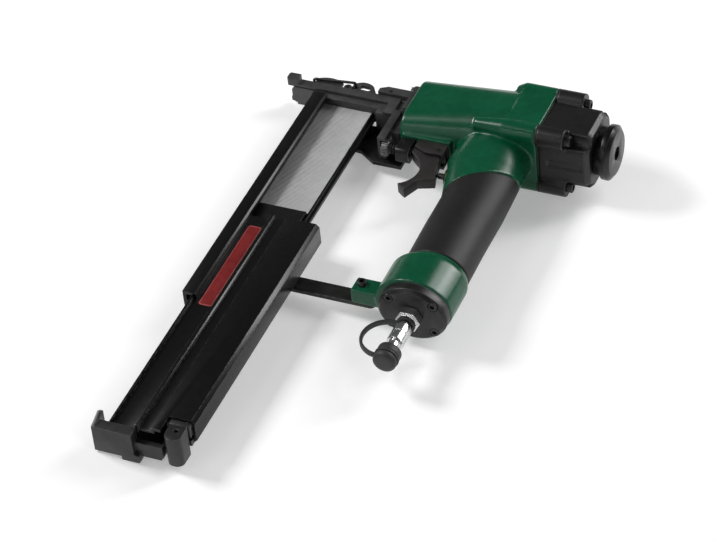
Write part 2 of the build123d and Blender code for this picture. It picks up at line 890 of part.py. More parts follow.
# Turnable exhaust deflector and its screw
with BuildPart() as exhaust_deflector:
    round_x(deflector_front_x, deflector_rear_x, deflector_neck_r)
    round_x(deflector_rear_x - deflector_disc_t, deflector_rear_x, deflector_r)
    chamfer(exhaust_deflector.edges().filter_by(GeomType.CIRCLE).group_by(Axis.X)[-1], *deflector_rim)
    with Locations(along_x(deflector_front_x)):
        Cylinder(deflector_neck_r - deflector_wall, deflector_hollow, align=START, mode=Mode.SUBTRACT)
        Cylinder(deflector_hub_r, deflector_hollow, align=START)
    for i in range(deflector_slot_count):
        z = (i - (deflector_slot_count - 1) / 2) * (deflector_slot_w + deflector_slot_web)
        block(
            deflector_front_x, deflector_front_x + deflector_hollow, deflector_hub_r, deflector_neck_r,
            z - deflector_slot_w / 2, z + deflector_slot_w / 2, Mode.SUBTRACT,
        )
    round_x(deflector_front_x, deflector_rear_x, exhaust_screw_r + pin_fit, mode=Mode.SUBTRACT)
    round_x(
        deflector_rear_x - exhaust_screw_sink - exhaust_screw_head_h, deflector_rear_x,
        exhaust_screw_head_r + slide_gap, mode=Mode.SUBTRACT,
    )
save(exhaust_deflector, "exhaust_deflector")

exhaust_seat_x = deflector_rear_x - exhaust_screw_sink - exhaust_screw_head_h + slide_gap
with BuildPart() as exhaust_screw:
    add(
        screw(
            exhaust_screw_head_r, exhaust_screw_head_h - slide_gap, exhaust_screw_r,
            exhaust_seat_x - head_bore_end_x,
        ).moved(along_x(exhaust_seat_x))
    )
save(exhaust_screw, "exhaust_screw")

# Handle end: gasket, cap, screws and air plug
end_screw_points = [
    (handle_x + sx * end_screw_x, sz * end_screw_z) for sx in (-1, 1) for sz in (-1, 1)
]
cap_seat_depth = collar_end_depth + gasket_t
plug_seat_depth = cap_seat_depth + end_cap_t

with BuildPart() as end_gasket:
    extrude(arc_oval(collar_end_depth, handle_x, end_cap_half_x, end_cap_half_z), amount=gasket_t)
    gasket_hole = arc_oval(collar_end_depth, handle_x, air_half_x - gasket_lap_x, air_half_z - gasket_lap_z)
    extrude(gasket_hole, amount=gasket_t, mode=Mode.SUBTRACT)
    for x, z in end_screw_points:
        round_y(-collar_end_depth, -cap_seat_depth, end_screw_r + slide_gap, x, z, Mode.SUBTRACT)
save(end_gasket, "end_gasket")

with BuildPart() as handle_end_cap:
    extrude(arc_oval(cap_seat_depth, handle_x, end_cap_half_x, end_cap_half_z), amount=end_cap_t)
    chamfer(handle_end_cap.faces().sort_by(Axis.Y)[0].edges(), end_cap_edge)
    for x, z in end_screw_points:
        round_y(-cap_seat_depth, -plug_seat_depth, end_screw_r + slide_gap, x, z, Mode.SUBTRACT)
        round_y(
            -plug_seat_depth + end_screw_head_h, -plug_seat_depth, end_screw_head_r + slide_gap, x, z,
            Mode.SUBTRACT,
        )
    round_y(-cap_seat_depth, -plug_seat_depth, plug_thread_r + seat_gap, handle_x, mode=Mode.SUBTRACT)
save(handle_end_cap, "handle_end_cap")

end_screw = screw(
    end_screw_head_r, end_screw_head_h, end_screw_r,
    plug_seat_depth - end_screw_head_h - collar_end_depth + end_screw_depth - wide_gap,
)
with BuildPart() as end_cap_screws:
    for x, z in end_screw_points:
        add(end_screw.moved(along_back(x, -plug_seat_depth + end_screw_head_h, z)))
save(end_cap_screws, "end_cap_screws")

neck_depth = plug_seat_depth + plug_hex_t
body_depth = neck_depth + plug_neck_l
groove_depth = body_depth + plug_body_l
tip_depth = groove_depth + plug_groove_l
plug_end_depth = tip_depth + plug_tip_l
with BuildPart() as air_plug:
    with BuildSketch(Plane.XZ.offset(plug_seat_depth)):
        with Locations((handle_x, 0)):
            RegularPolygon(plug_hex_flats / sqrt(3), 6)
    extrude(amount=plug_hex_t)
    chamfer(air_plug.edges().filter_by(Plane.XZ), plug_hex_edge)
    round_y(-plug_seat_depth + plug_thread_l, -plug_seat_depth, plug_thread_r, handle_x)
    with BuildSketch(Plane.XY):
        with BuildLine():
            Polyline(
                (handle_x, -neck_depth),
                (handle_x + plug_neck_r, -neck_depth),
                (handle_x + plug_neck_r, -body_depth),
                (handle_x + plug_body_r, -body_depth - plug_body_edge),
                (handle_x + plug_body_r, -groove_depth + plug_body_edge),
                (handle_x + plug_groove_r, -groove_depth),
                (handle_x + plug_groove_r, -tip_depth),
                (handle_x + plug_tip_r, -tip_depth - plug_tip_edge),
                (handle_x + plug_tip_r, -plug_end_depth + plug_nose_l),
                (handle_x + plug_tip_r - plug_nose_in, -plug_end_depth),
                (handle_x, -plug_end_depth),
                close=True,
            )
        make_face()
    revolve(axis=Axis((handle_x, 0, 0), (0, 1, 0)))
    round_y(-plug_seat_depth + plug_thread_l, -plug_end_depth, plug_bore_r, handle_x, mode=Mode.SUBTRACT)
save(air_plug, "air_plug")

# Dust cap and its strap
dust_cap_top_y = -plug_seat_depth - dust_cap_start
dust_cap_end_y = dust_cap_top_y - dust_cap_l
with BuildPart() as dust_cap:
    round_y(dust_cap_top_y, dust_cap_end_y, dust_cap_r, handle_x)
    chamfer(dust_cap.edges().filter_by(GeomType.CIRCLE).group_by(Axis.Y)[0], dust_cap_edge)
    with Locations(along_back(handle_x, dust_cap_top_y - dust_cap_groove_y)):
        Cylinder(dust_cap_r + wide_gap, dust_cap_groove_w, align=START, mode=Mode.SUBTRACT)
        Cylinder(dust_cap_r - dust_cap_groove_depth, dust_cap_groove_w, align=START)
    round_y(
        dust_cap_top_y, dust_cap_end_y + dust_cap_floor, plug_tip_r + dust_cap_slack, handle_x,
        mode=Mode.SUBTRACT,
    )
save(dust_cap, "dust_cap")

strap_ring_y = -neck_depth - strap_ring_in
strap_cap_y = dust_cap_top_y - dust_cap_groove_y - dust_cap_groove_w / 2
with BuildPart() as cap_strap:
    half_ring = strap_ring_t / 2
    round_y(strap_ring_y + half_ring, strap_ring_y - half_ring, plug_body_r + strap_ring_w, handle_x)
    round_y(strap_cap_y + half_ring, strap_cap_y - half_ring, dust_cap_r + strap_ring_proud, handle_x)
    with BuildLine() as strap_line:
        ThreePointArc(
            (handle_x - plug_body_r - strap_root_in, strap_ring_y),
            (handle_x - strap_loop_out, -plug_seat_depth - strap_loop_run),
            (handle_x - dust_cap_r + strap_tip_in, strap_cap_y),
        )
    with BuildSketch(Plane(strap_line.line @ 0, x_dir=(0, 0, 1), z_dir=strap_line.line % 0)):
        Rectangle(strap_w, strap_t)
    sweep()
    round_y(
        strap_ring_y + strap_cut, strap_ring_y - strap_cut, plug_neck_r + slide_gap, handle_x,
        mode=Mode.SUBTRACT,
    )
    round_y(
        strap_cap_y + strap_cut, strap_cap_y - strap_cut,
        dust_cap_r - dust_cap_groove_depth + seat_gap, handle_x, mode=Mode.SUBTRACT,
    )
    half_groove = dust_cap_groove_w / 2 - seat_gap
    for y0 in (strap_cap_y + half_groove + strap_cut, strap_cap_y - half_groove):
        round_y(y0, y0 - strap_cut, dust_cap_r + slide_gap, handle_x, mode=Mode.SUBTRACT)
save(cap_strap, "cap_strap")

# Trigger, its bracket under the barrel, its pin and its valve
with BuildPart() as trigger:
    with BuildSketch():
        with BuildLine():
            ThreePointArc(trigger_lip, trigger_finger_mid, trigger_tip)
            Polyline(
                trigger_tip, trigger_toe, trigger_blade_back, trigger_back_low, trigger_back_mid,
                trigger_back_top, (trigger_pivot[0], trigger_pivot[1] + trigger_hub_r), trigger_front,
                trigger_chin, trigger_lip,
            )
        make_face()
        with Locations(trigger_pivot):
            Circle(trigger_hub_r)
    extrude(amount=trigger_half_z, both=True)
    round_z(-trigger_half_z, trigger_half_z, trigger_pin_r + pin_fit, *trigger_pivot, mode=Mode.SUBTRACT)
save(trigger, "trigger")

ear_z = trigger_half_z + slide_gap
with BuildPart() as trigger_bracket:
    block(
        bracket_front_x, bracket_rear_x, trigger_pad_y - bracket_roof_t, trigger_pad_y,
        -ear_z - trigger_ear_t, ear_z + trigger_ear_t,
    )
    ear_top_y = trigger_pad_y - bracket_roof_t / 2
    for z0 in (ear_z, -ear_z - trigger_ear_t):
        with BuildSketch(Plane.XY.offset(z0)):
            with BuildLine():
                Polyline(
                    (bracket_front_x, ear_top_y), (bracket_rear_x, ear_top_y),
                    (bracket_rear_x, bracket_side_low_y),
                    (bracket_front_x + bracket_slope_x, bracket_side_low_y),
                    (bracket_front_x, bracket_side_low_y + bracket_slope_y), close=True,
                )
            make_face()
        extrude(amount=trigger_ear_t)
    round_z(-pin_drill, pin_drill, trigger_pin_r + seat_gap, *trigger_pivot, mode=Mode.SUBTRACT)
save(trigger_bracket, "trigger_bracket")

with BuildPart() as trigger_pin:
    round_z(-ear_z - trigger_ear_t, ear_z + trigger_ear_t, trigger_pin_r, *trigger_pivot)
save(trigger_pin, "trigger_pin")

with BuildPart() as valve_body:
    round_x(valve_front_x, valve_rear_x, valve_r, valve_y)
    chamfer(valve_body.edges().filter_by(GeomType.CIRCLE).group_by(Axis.X)[0], valve_edge)
    round_x(valve_front_x, valve_chamber_x, stem_r + pin_fit, valve_y, mode=Mode.SUBTRACT)
    valve_floor_x = valve_rear_x - valve_floor_t
    round_x(valve_chamber_x, valve_floor_x, valve_chamber_r, valve_y, mode=Mode.SUBTRACT)
    round_x(valve_floor_x - wide_gap, valve_rear_x, valve_port_r, valve_y, mode=Mode.SUBTRACT)
save(valve_body, "valve_body")

with BuildPart() as valve_stem:
    round_x(stem_tip_x + stem_tip_l, stem_head_x + stem_head_t, stem_r, valve_y)
    round_x(stem_tip_x, stem_tip_x + stem_tip_l, stem_tip_r, valve_y)
    round_x(stem_head_x, stem_head_x + stem_head_t, stem_head_r, valve_y)
save(valve_stem, "valve_stem")

with BuildPart() as valve_spring:
    valve_spring_start_x = stem_head_x + stem_head_t + wide_gap
    coil = coil_spring(
        "valve_spring", valve_spring_r, valve_spring_wire_r,
        valve_floor_x - wide_gap - valve_spring_start_x, valve_spring_turns, wire_sides=4,
    )
    add(coil.moved(along_x(valve_spring_start_x, valve_y)))
save(valve_spring, "valve_spring")

# Nose: drive channel, flange, door hinge, bail hooks and magazine pad
with BuildPart() as nose_housing:
    block(nose_tip_x, nose_flange_x, nose_back_y, split_y, -nose_half_z, nose_half_z)
    chamfer(nose_housing.edges().filter_by(Axis.Y).group_by(Axis.X)[0], nose_edge)
    block(nose_tip_x, nose_step_x, nose_back_y, nose_front_y, -nose_half_z, nose_half_z, Mode.SUBTRACT)
    block(nose_root_x, nose_flange_x, nose_root_y, nose_back_y, -nose_half_z, nose_half_z)
    block(
        nose_flange_x, housing_front_x, yoke_leg_top_y, nose_flange_top_y,
        -nose_flange_half_z, nose_flange_half_z,
    )
    fillet(nose_housing.edges().filter_by(Axis.X).group_by(Axis.Y)[-1], nose_flange_round)
    block(nose_flange_x, housing_front_x, barrel_front_low_y, yoke_leg_top_y, -nose_half_z, nose_half_z)
    with BuildSketch():
        with BuildLine():
            Polyline(
                (hinge_front_x, hinge_low_y), (nose_flange_x, hinge_low_y),
                (nose_flange_x, nose_flange_top_y - hinge_root_in),
                (hinge_front_x + hinge_slope + hinge_crest, hinge_top_y),
                (hinge_front_x, hinge_top_y - hinge_slope), close=True,
            )
        make_face()
    extrude(amount=hinge_half_z, both=True)
    block(hinge_front_x + hinge_set_back, nose_flange_x, split_y, hinge_low_y, -nose_half_z, nose_half_z)
    knuckle_slot_z = door_knuckle_half_z + slide_gap
    block(
        hinge_front_x, door_pivot[0] + door_knuckle_r + knuckle_gap, split_y, hinge_top_y + knuckle_slot_top,
        -knuckle_slot_z, knuckle_slot_z, Mode.SUBTRACT,
    )
    for s in (-1, 1):
        with BuildSketch(Plane.XY.offset(min(s * hook_inner_z, s * nose_half_z))):
            with BuildLine():
                Polyline(
                    (hook_x, hook_end_y), (hook_x, split_y), (hook_x + hook_l, split_y),
                    (hook_x + hook_l, hook_end_y),
                )
                ThreePointArc(
                    (hook_x + hook_l, hook_end_y), (hook_x + hook_l / 2, hook_crown_y), (hook_x, hook_end_y),
                )
            make_face()
        extrude(amount=nose_half_z - hook_inner_z)
    block(pad_x0, pad_x1, pad_y0, pad_y1, rail_foot_z, -nose_half_z)
    block(
        nose_tip_x, housing_front_x, -channel_half_y, split_y, -channel_half_z, channel_half_z,
        Mode.SUBTRACT,
    )
    block(
        rail_lip_right_x - nail_length - nail_point_gap, rail_lip_right_x, nose_back_y, 0,
        -nail_head_half_t - slide_gap, nail_head_half_t + slide_gap, Mode.SUBTRACT,
    )
    round_z(-hinge_half_z, hinge_half_z, door_pin_r + seat_gap, *door_pivot, mode=Mode.SUBTRACT)
    for y, z in (
        (nose_screw_y, nose_screw_z), (nose_screw_y, -nose_screw_z),
        (nose_screw_low_y, nose_screw_low_z), (nose_screw_low_y, -nose_screw_low_z),
    ):
        round_x(nose_flange_x, housing_front_x, nose_screw_r + slide_gap, y, z, Mode.SUBTRACT)
        if y > 0:
            round_x(hinge_front_x, nose_flange_x, nose_screw_head_r + slide_gap, y, z, Mode.SUBTRACT)
    round_z(
        rail_foot_z, -nose_half_z + pad_screw_depth, bracket_screw_r + seat_gap, (pad_x0 + pad_x1) / 2,
        (pad_y0 + pad_y1) / 2, Mode.SUBTRACT,
    )
save(nose_housing, "nose_housing")

nose_screw = screw(nose_screw_head_r, nose_screw_head_h, nose_screw_r, nose_screw_depth)
with BuildPart() as nose_screws:
    for y, z in (
        (nose_screw_y, nose_screw_z), (nose_screw_y, -nose_screw_z),
        (nose_screw_low_y, nose_screw_low_z), (nose_screw_low_y, -nose_screw_low_z),
    ):
        add(nose_screw.moved(Location((nose_flange_x, y, z), (0, -90, 0))))
save(nose_screws, "nose_screws")

# Nose door with its knuckle and latch ears
with BuildPart() as nose_door:
    block(door_front_x, door_rear_x, split_y, split_y + door_t, -door_half_z, door_half_z)
    chamfer(nose_door.edges().filter_by(Axis.Y).group_by(Axis.X)[0], nose_edge)
    for s in (-1, 1):
        z0 = min(s * (hook_inner_z - slide_gap), s * door_half_z)
        z1 = max(s * (hook_inner_z - slide_gap), s * door_half_z)
        block(
            hook_x - wide_gap, hook_x + hook_l + wide_gap, split_y, split_y + door_t, z0, z1,
            Mode.SUBTRACT,
        )
        z0 = min(s * (latch_half_z + slide_gap), s * (latch_half_z + slide_gap + latch_ear_t))
        with BuildSketch(Plane.XY.offset(z0)):
            with Locations(latch_pivot):
                Circle(latch_hub_r + latch_ear_wall)
            with Locations((latch_pivot[0], (latch_pivot[1] + split_y + door_t) / 2)):
                Rectangle(2 * (latch_hub_r + latch_ear_wall), latch_pivot[1] - split_y - door_t)
        extrude(amount=latch_ear_t)
    knuckle_root_x = door_rear_x - knuckle_root_in
    with BuildSketch():
        with Locations(door_pivot):
            Circle(door_knuckle_r)
        with BuildLine():
            Polyline(
                (knuckle_root_x, split_y + knuckle_root_y), (door_pivot[0], door_pivot[1] - door_knuckle_r),
                (door_pivot[0], door_pivot[1] + door_knuckle_r), (knuckle_root_x, split_y + door_t),
                close=True,
            )
        make_face()
    extrude(amount=door_knuckle_half_z, both=True)
    round_z(-pin_drill, pin_drill, door_pin_r + pin_fit, *door_pivot, mode=Mode.SUBTRACT)
    round_z(-pin_drill, pin_drill, latch_pin_r + seat_gap, *latch_pivot, mode=Mode.SUBTRACT)
save(nose_door, "nose_door")

with BuildPart() as door_pin:
    round_z(-hinge_half_z, hinge_half_z, door_pin_r, *door_pivot)
save(door_pin, "door_pin")

# Quick-release latch: lever, pin and wire bail
with BuildPart() as latch_lever:
    with BuildSketch():
        with Locations(latch_pivot, latch_bail_pivot):
            Circle(latch_hub_r)
        make_hull()
    extrude(amount=latch_half_z, both=True)
    with BuildSketch():
        with BuildLine():
            Polyline(latch_crown_rear, latch_tip, latch_bail_pivot, latch_pivot, latch_crown_front)
            ThreePointArc(latch_crown_front, latch_crown, latch_crown_rear)
        make_face()
        with Locations(Location((*latch_eye, 0), (0, 0, latch_eye_turn))):
            SlotCenterToCenter(latch_eye_l, latch_eye_w, mode=Mode.SUBTRACT)
    extrude(amount=latch_plate_half_z, both=True)
    round_z(-pin_drill, pin_drill, latch_pin_r + pin_fit, *latch_pivot, mode=Mode.SUBTRACT)
    round_z(-pin_drill, pin_drill, bail_wire_r + pin_fit, *latch_bail_pivot, mode=Mode.SUBTRACT)
save(latch_lever, "latch_lever")

latch_ear_out_z = latch_half_z + slide_gap + latch_ear_t
with BuildPart() as latch_pin:
    round_z(-latch_ear_out_z, latch_ear_out_z, latch_pin_r, *latch_pivot)
save(latch_pin, "latch_pin")

bail_hook_x = hook_x - bail_wire_r - wide_gap
with BuildPart() as latch_bail:
    with BuildLine() as bail_line:
        FilletPolyline(
            (*latch_bail_pivot, -latch_half_z + bail_end_in),
            (*latch_bail_pivot, -bail_half_z),
            (bail_hook_x, bail_hook_y, -bail_half_z),
            (bail_hook_x, bail_hook_y, bail_half_z),
            (*latch_bail_pivot, bail_half_z),
            (*latch_bail_pivot, latch_half_z - bail_end_in),
            radius=bail_bend_r,
        )
    with BuildSketch(Plane(bail_line.line @ 0, z_dir=bail_line.line % 0)):
        RegularPolygon(bail_wire_r, bail_wire_sides)
    sweep()
save(latch_bail, "latch_bail")

# Contact yoke: two feet, two arms, cross tab and rod in one piece
leg_top_y = yoke_leg_top_y - slide_gap
with BuildPart() as contact_yoke:
    for s in (-1, 1):
        z0 = yoke_inner_z if s > 0 else -yoke_inner_z - yoke_t
        with BuildSketch(Plane.XY.offset(z0)):
            with BuildLine():
                Polyline(
                    (foot_rear_x - foot_lap, yoke_arm_low_y), (yoke_leg_front_x, yoke_arm_low_y),
                    (yoke_leg_front_x, yoke_step_y), (yoke_arm_end_x, yoke_step_y),
                    (yoke_arm_end_x, yoke_low_y), (yoke_leg_rear_x, yoke_low_y),
                    (yoke_leg_rear_x, leg_top_y), (yoke_arm_end_x, leg_top_y),
                    (yoke_arm_end_x, yoke_arm_high_y), (foot_rear_x - foot_lap, yoke_arm_high_y), close=True,
                )
            make_face()
        extrude(amount=yoke_t)
        z0 = yoke_inner_z if s > 0 else -foot_under_z
        z1 = foot_outer_z if s > 0 else -yoke_inner_z
        block(foot_tip_x, foot_rear_x, -foot_half_y if s > 0 else foot_low_y, foot_half_y, z0, z1)
    fillet(contact_yoke.edges().filter_by(Axis.Z).group_by(Axis.X)[0], foot_round)
    yoke_outer_z = yoke_inner_z + yoke_t
    block(
        yoke_arm_end_x, yoke_arm_end_x + yoke_tab_t, yoke_low_y, rod_y + rod_r,
        -yoke_outer_z, yoke_outer_z,
    )
    round_x(yoke_arm_end_x + yoke_tab_t / 2, rod_end_x, rod_r, rod_y)
save(contact_yoke, "contact_yoke")

with BuildPart() as yoke_spring:
    yoke_spring_inset = yoke_spring_wire_r + slide_gap
    yoke_spring_start_x = wheel_front_x + wheel_t + yoke_spring_inset
    coil = coil_spring(
        "yoke_spring", yoke_spring_r, yoke_spring_wire_r,
        guide_front_x - yoke_spring_inset - yoke_spring_start_x, yoke_spring_turns,
    )
    add(coil.moved(along_x(yoke_spring_start_x, rod_y)))
save(yoke_spring, "yoke_spring")

# Guide block for the rod, under the barrel
with BuildPart() as rod_guide:
    block(guide_front_x, guide_rear_x, guide_low_y, trigger_pad_y, -guide_half_z, guide_half_z)
    fillet(rod_guide.edges().filter_by(Axis.X).group_by(Axis.Y)[0], guide_round)
    round_x(guide_front_x, guide_rear_x, rod_r + pin_fit, rod_y, mode=Mode.SUBTRACT)
save(rod_guide, "rod_guide")

# Thumb wheel on the rod that sets the driving depth
with BuildPart() as depth_wheel:
    with BuildSketch(Plane.YZ.offset(wheel_front_x)):
        with Locations((rod_y, 0)):
            RegularPolygon(wheel_r, wheel_side_count)
            RegularPolygon(wheel_r, wheel_side_count, rotation=180 / wheel_side_count)
    extrude(amount=wheel_t)
    round_x(wheel_front_x, wheel_front_x + wheel_t, rod_r + pin_fit, rod_y, mode=Mode.SUBTRACT)
save(depth_wheel, "depth_wheel")

# Fixed magazine rail: wall with a hooked lip, floor for the strip and a foot
with BuildPart() as magazine_rail:
    wall_x = rail_left_x + rail_wall
    with BuildSketch(Plane.XZ.offset(-nose_back_y)):
        with BuildLine():
            Polyline(
                (rail_left_x, rail_foot_z), (rail_foot_x, rail_foot_z),
                (rail_foot_x, rail_foot_z + rail_foot_t), (wall_x, rail_foot_z + rail_foot_t),
                (wall_x, rail_floor_low_z), (rail_floor_right_x, rail_floor_low_z),
                (rail_floor_right_x, rail_floor_z),
                (rail_lip_right_x + rail_lip_right_t, rail_floor_z),
                (rail_lip_right_x + rail_lip_right_t, rail_lip_right_z),
                (rail_lip_right_x, rail_lip_right_z), (rail_lip_right_x, rail_floor_z),
                (wall_x, rail_floor_z), (wall_x, rail_shelf_low_z), (rail_shelf_x, rail_shelf_low_z),
                (rail_shelf_x, rail_shelf_z), (wall_x, rail_shelf_z),
                (wall_x, rail_top_z - rail_lip_t), (rail_hook_x, rail_top_z - rail_lip_t),
                (rail_hook_x, rail_hook_z), (rail_lip_x, rail_hook_z),
                (rail_lip_x, rail_top_z - rail_lip_edge), (rail_lip_x - rail_lip_edge, rail_top_z),
                (rail_left_x, rail_top_z), close=True,
            )
        make_face()
    extrude(amount=nose_back_y - rail_end_y)
    block(
        rail_floor_right_x - catch_depth, rail_floor_right_x, catch_y - catch_l / 2, catch_y + catch_l / 2,
        rail_floor_low_z, rail_floor_z, Mode.SUBTRACT,
    )
    block(
        plate_right_x0 - wide_gap, rail_floor_right_x,
        rail_end_y, cover_right_rear_y + magazine_travel + wide_gap,
        rail_floor_low_z, rail_lip_right_z, Mode.SUBTRACT,
    )
    for y in (*carrier_screw_ys, bracket_y):
        round_z(
            rail_foot_z, rail_foot_z + rail_foot_t, bracket_screw_r + seat_gap, carrier_screw_x, y,
            Mode.SUBTRACT,
        )
save(magazine_rail, "magazine_rail")

# Strip of headed nails lying on the rail floor
with BuildPart() as nail_strip:
    strip_length = nail_count * nail_pitch
    point_x = rail_lip_right_x - strip_gap - nail_length
    groove_z = nail_half_t - nail_groove_depth
    block(
        point_x, point_x + nail_length, strip_front_y - strip_length, strip_front_y,
        -nail_half_t, groove_z,
    )
    with BuildSketch(Plane.YZ.offset(point_x)):
        for i in range(nail_count):
            with Locations((strip_front_y - nail_pitch * (i + 0.5), groove_z)):
                Rectangle(nail_pitch - nail_groove_w, 2 * nail_groove_depth)
    extrude(amount=nail_length)
save(nail_strip, "nail_strip")

# Sliding magazine cover
with BuildPart() as magazine_cover:
    inner_right_x = cover_right_x - cover_wall
    ledge_low_z = cover_ledge_z - cover_wall
    guide_top_z = rail_floor_z + slide_gap + cover_guide_t
    guide_low_z = rail_floor_z + slide_gap
    under_top_z = rail_floor_low_z - slide_gap
    with BuildSketch(Plane.XZ.offset(-cover_front_y)):
        with BuildLine():
            Polyline(
                (cover_rib_x, ledge_low_z), (cover_rib_x, cover_rib_z),
                (cover_rib_x + cover_rib_t, cover_rib_z), (cover_rib_x + cover_rib_t, cover_ledge_z),
                (cover_step_x, cover_ledge_z), (cover_step_x, cover_top_z),
                (cover_bead_x - cover_bead_edge, cover_top_z), (cover_bead_x, cover_top_z - cover_bead_edge),
                (cover_bead_x, cover_groove_z),
                (cover_groove_x, cover_groove_z), (cover_groove_x, cover_top_z),
                (cover_right_x - cover_top_edge, cover_top_z), (cover_right_x, cover_top_z - cover_top_edge),
                (cover_right_x, cover_low_z + cover_edge),
                (cover_right_x - cover_edge, cover_low_z),
                (cover_low_left_x, cover_low_z), (cover_low_left_x, cover_low_z + cover_wall),
                (cover_guide_low_x, cover_low_z + cover_wall), (cover_guide_low_x, under_top_z),
                (inner_right_x, under_top_z), (inner_right_x, guide_low_z),
                (cover_guide_x, guide_low_z), (cover_guide_x, guide_top_z),
                (inner_right_x, guide_top_z), (inner_right_x, cover_under_z),
                (cover_groove_x + cover_wall, cover_under_z),
                (cover_groove_x + cover_wall, cover_groove_z - cover_wall),
                (cover_step_x + cover_wall, cover_groove_z - cover_wall),
                (cover_step_x + cover_wall, ledge_low_z), close=True,
            )
        make_face()
    extrude(amount=cover_front_y - cover_rear_y)
    block(
        plate_right_x0, cover_right_x, cover_rear_y, cover_right_rear_y, cover_low_z, cover_top_z,
        Mode.SUBTRACT,
    )
    block(
        carriage_x0 + rod_web_in, inner_right_x, cover_front_y - rod_web_t, cover_front_y,
        guide_top_z, cover_under_z,
    )
    round_y(cover_front_y, cover_front_y - rod_web_t, pusher_rod_r + seat_gap, rod_x, rod_z, Mode.SUBTRACT)
save(magazine_cover, "magazine_cover")

# Bare coloured plate on the cover's ledge
with BuildPart() as label_plate:
    block(label_x0, label_x1, label_rear_y, label_front_y, cover_ledge_z, cover_ledge_z + label_t)
    fillet(label_plate.edges().filter_by(Axis.Z), label_round)
save(label_plate, "label_plate")

# Pusher with its carriage on the guide rod
pusher_front_y = strip_front_y - strip_length - pusher_front_gap
pusher_rear_y = pusher_front_y - pusher_length
with BuildPart() as pusher:
    pusher_low_z = rail_floor_z + slide_gap
    block(pusher_x0, pusher_x1, pusher_rear_y, pusher_front_y, pusher_low_z, pusher_top_z)
    chamfer(pusher.edges().filter_by(Axis.X).group_by(Axis.Y)[-1].sort_by(Axis.Z)[-1], pusher_edge)
    block(
        pusher_x1 - pusher_arm_lap, carriage_x1, pusher_rear_y, carriage_front_y, carriage_z0, pusher_top_z,
    )
    block(carriage_x0, carriage_x1, carriage_rear_y, carriage_front_y, carriage_z0, carriage_z1)
    round_y(carriage_front_y, carriage_rear_y, pusher_rod_r + pin_fit, rod_x, rod_z, Mode.SUBTRACT)
    round_x(band_x0 - slide_gap, band_x1 + slide_gap, band_pocket_r, band_roll_y, band_roll_z, Mode.SUBTRACT)
    block(
        band_x0 - slide_gap, band_x1 + slide_gap, band_roll_y - band_pocket_r, band_roll_y + band_pocket_r,
        band_roll_z, carriage_z1, Mode.SUBTRACT,
    )
save(pusher, "pusher")

with BuildPart() as pusher_rod:
    round_y(cover_front_y, cover_right_rear_y - plate_t + rod_seat_web, pusher_rod_r, rod_x, rod_z)
save(pusher_rod, "pusher_rod")

# Constant-force band spring: its roll rides in the carriage, its end is held at the cover's front
with BuildPart() as pusher_spring:
    round_x(band_x0, band_x1, band_roll_r, band_roll_y, band_roll_z)
    block(band_x0, band_x1, band_roll_y, cover_front_y - rod_web_t, band_top_z - band_t, band_top_z)
save(pusher_spring, "pusher_spring")

# End plate of the cover, with its side ear, low middle, and lugs for the release
with BuildPart() as end_plate:
    plate_rear_y = cover_rear_y - plate_t
    wall_rear_y = cover_right_rear_y - plate_t
    block(
        plate_left_x, plate_left_right_x, cover_rear_y - plate_left_t, cover_rear_y,
        plate_low_z, plate_left_top_z,
    )
    block(plate_left_right_x, plate_right_x0, plate_rear_y, cover_rear_y, plate_low_z, plate_mid_top_z)
    block(
        plate_right_x0, plate_right_x0 + plate_web_t, plate_rear_y, wall_rear_y,
        plate_low_z + plate_web_rise, plate_mid_top_z,
    )
    block(
        plate_right_x0, inner_right_x, wall_rear_y, cover_right_rear_y, cover_low_z, plate_right_top_z,
    )
    with BuildSketch(Plane.YZ.offset(plate_left_x)):
        with BuildLine():
            Polyline(
                (cover_rear_y - plate_left_t, plate_low_z), (cover_rear_y - plate_left_t, plate_left_top_z),
                ear_peak, (ear_front_y, ear_peak[1] - ear_slope), (ear_front_y, plate_mid_top_z),
                (cover_rear_y, plate_low_z), close=True,
            )
        make_face()
    extrude(amount=ear_x1 - plate_left_x)
    block(
        plate_tab_x0, plate_tab_x1, cover_rear_y - plate_left_t, cover_rear_y - plate_tab_in,
        plate_tab_low_z, plate_low_z + plate_tab_lap,
    )
    for z0 in (release_lug_z, -release_lug_z - release_lug_t):
        block(
            release_pin_x - release_lug_half_x, release_pin_x + release_lug_half_x,
            release_lug_rear_y, wall_rear_y, z0, z0 + release_lug_t,
        )
    round_z(-pin_drill, pin_drill, release_pin_r + seat_gap, release_pin_x, release_pin_y, Mode.SUBTRACT)
    round_y(
        cover_right_rear_y, wall_rear_y + rod_seat_web, pusher_rod_r + seat_gap, rod_x, rod_z,
        Mode.SUBTRACT,
    )
    block(
        release_tooth_x - slide_gap, inner_right_x, wall_rear_y, cover_right_rear_y,
        under_top_z, guide_low_z, Mode.SUBTRACT,
    )
save(end_plate, "end_plate")

# Magazine release: thumb piece, arm through the end plate and its pin
with BuildPart() as magazine_release:
    block(release_x0, release_x1, release_rear_y, release_front_y, release_low_z, release_top_z)
    fillet(magazine_release.edges().filter_by(Axis.Z).group_by(Axis.Y)[0], release_round)
    for z0 in (release_lug_z, -release_lug_z - release_lug_t):
        block(
            release_pin_x - release_slot_half_x, release_pin_x + release_slot_half_x,
            release_lug_rear_y - wide_gap, release_front_y,
            z0 - slide_gap, z0 + release_lug_t + slide_gap, Mode.SUBTRACT,
        )
    block(
        release_arm_x0, release_arm_x1, release_front_y - release_arm_lap, release_arm_tip_y,
        release_arm_z0, release_arm_z1,
    )
    block(
        release_tooth_x, release_arm_x1, release_arm_tip_y - release_tooth_l, release_arm_tip_y,
        release_arm_z0, release_arm_z1,
    )
    round_z(-pin_drill, pin_drill, release_pin_r + pin_fit, release_pin_x, release_pin_y, Mode.SUBTRACT)
save(magazine_release, "magazine_release")

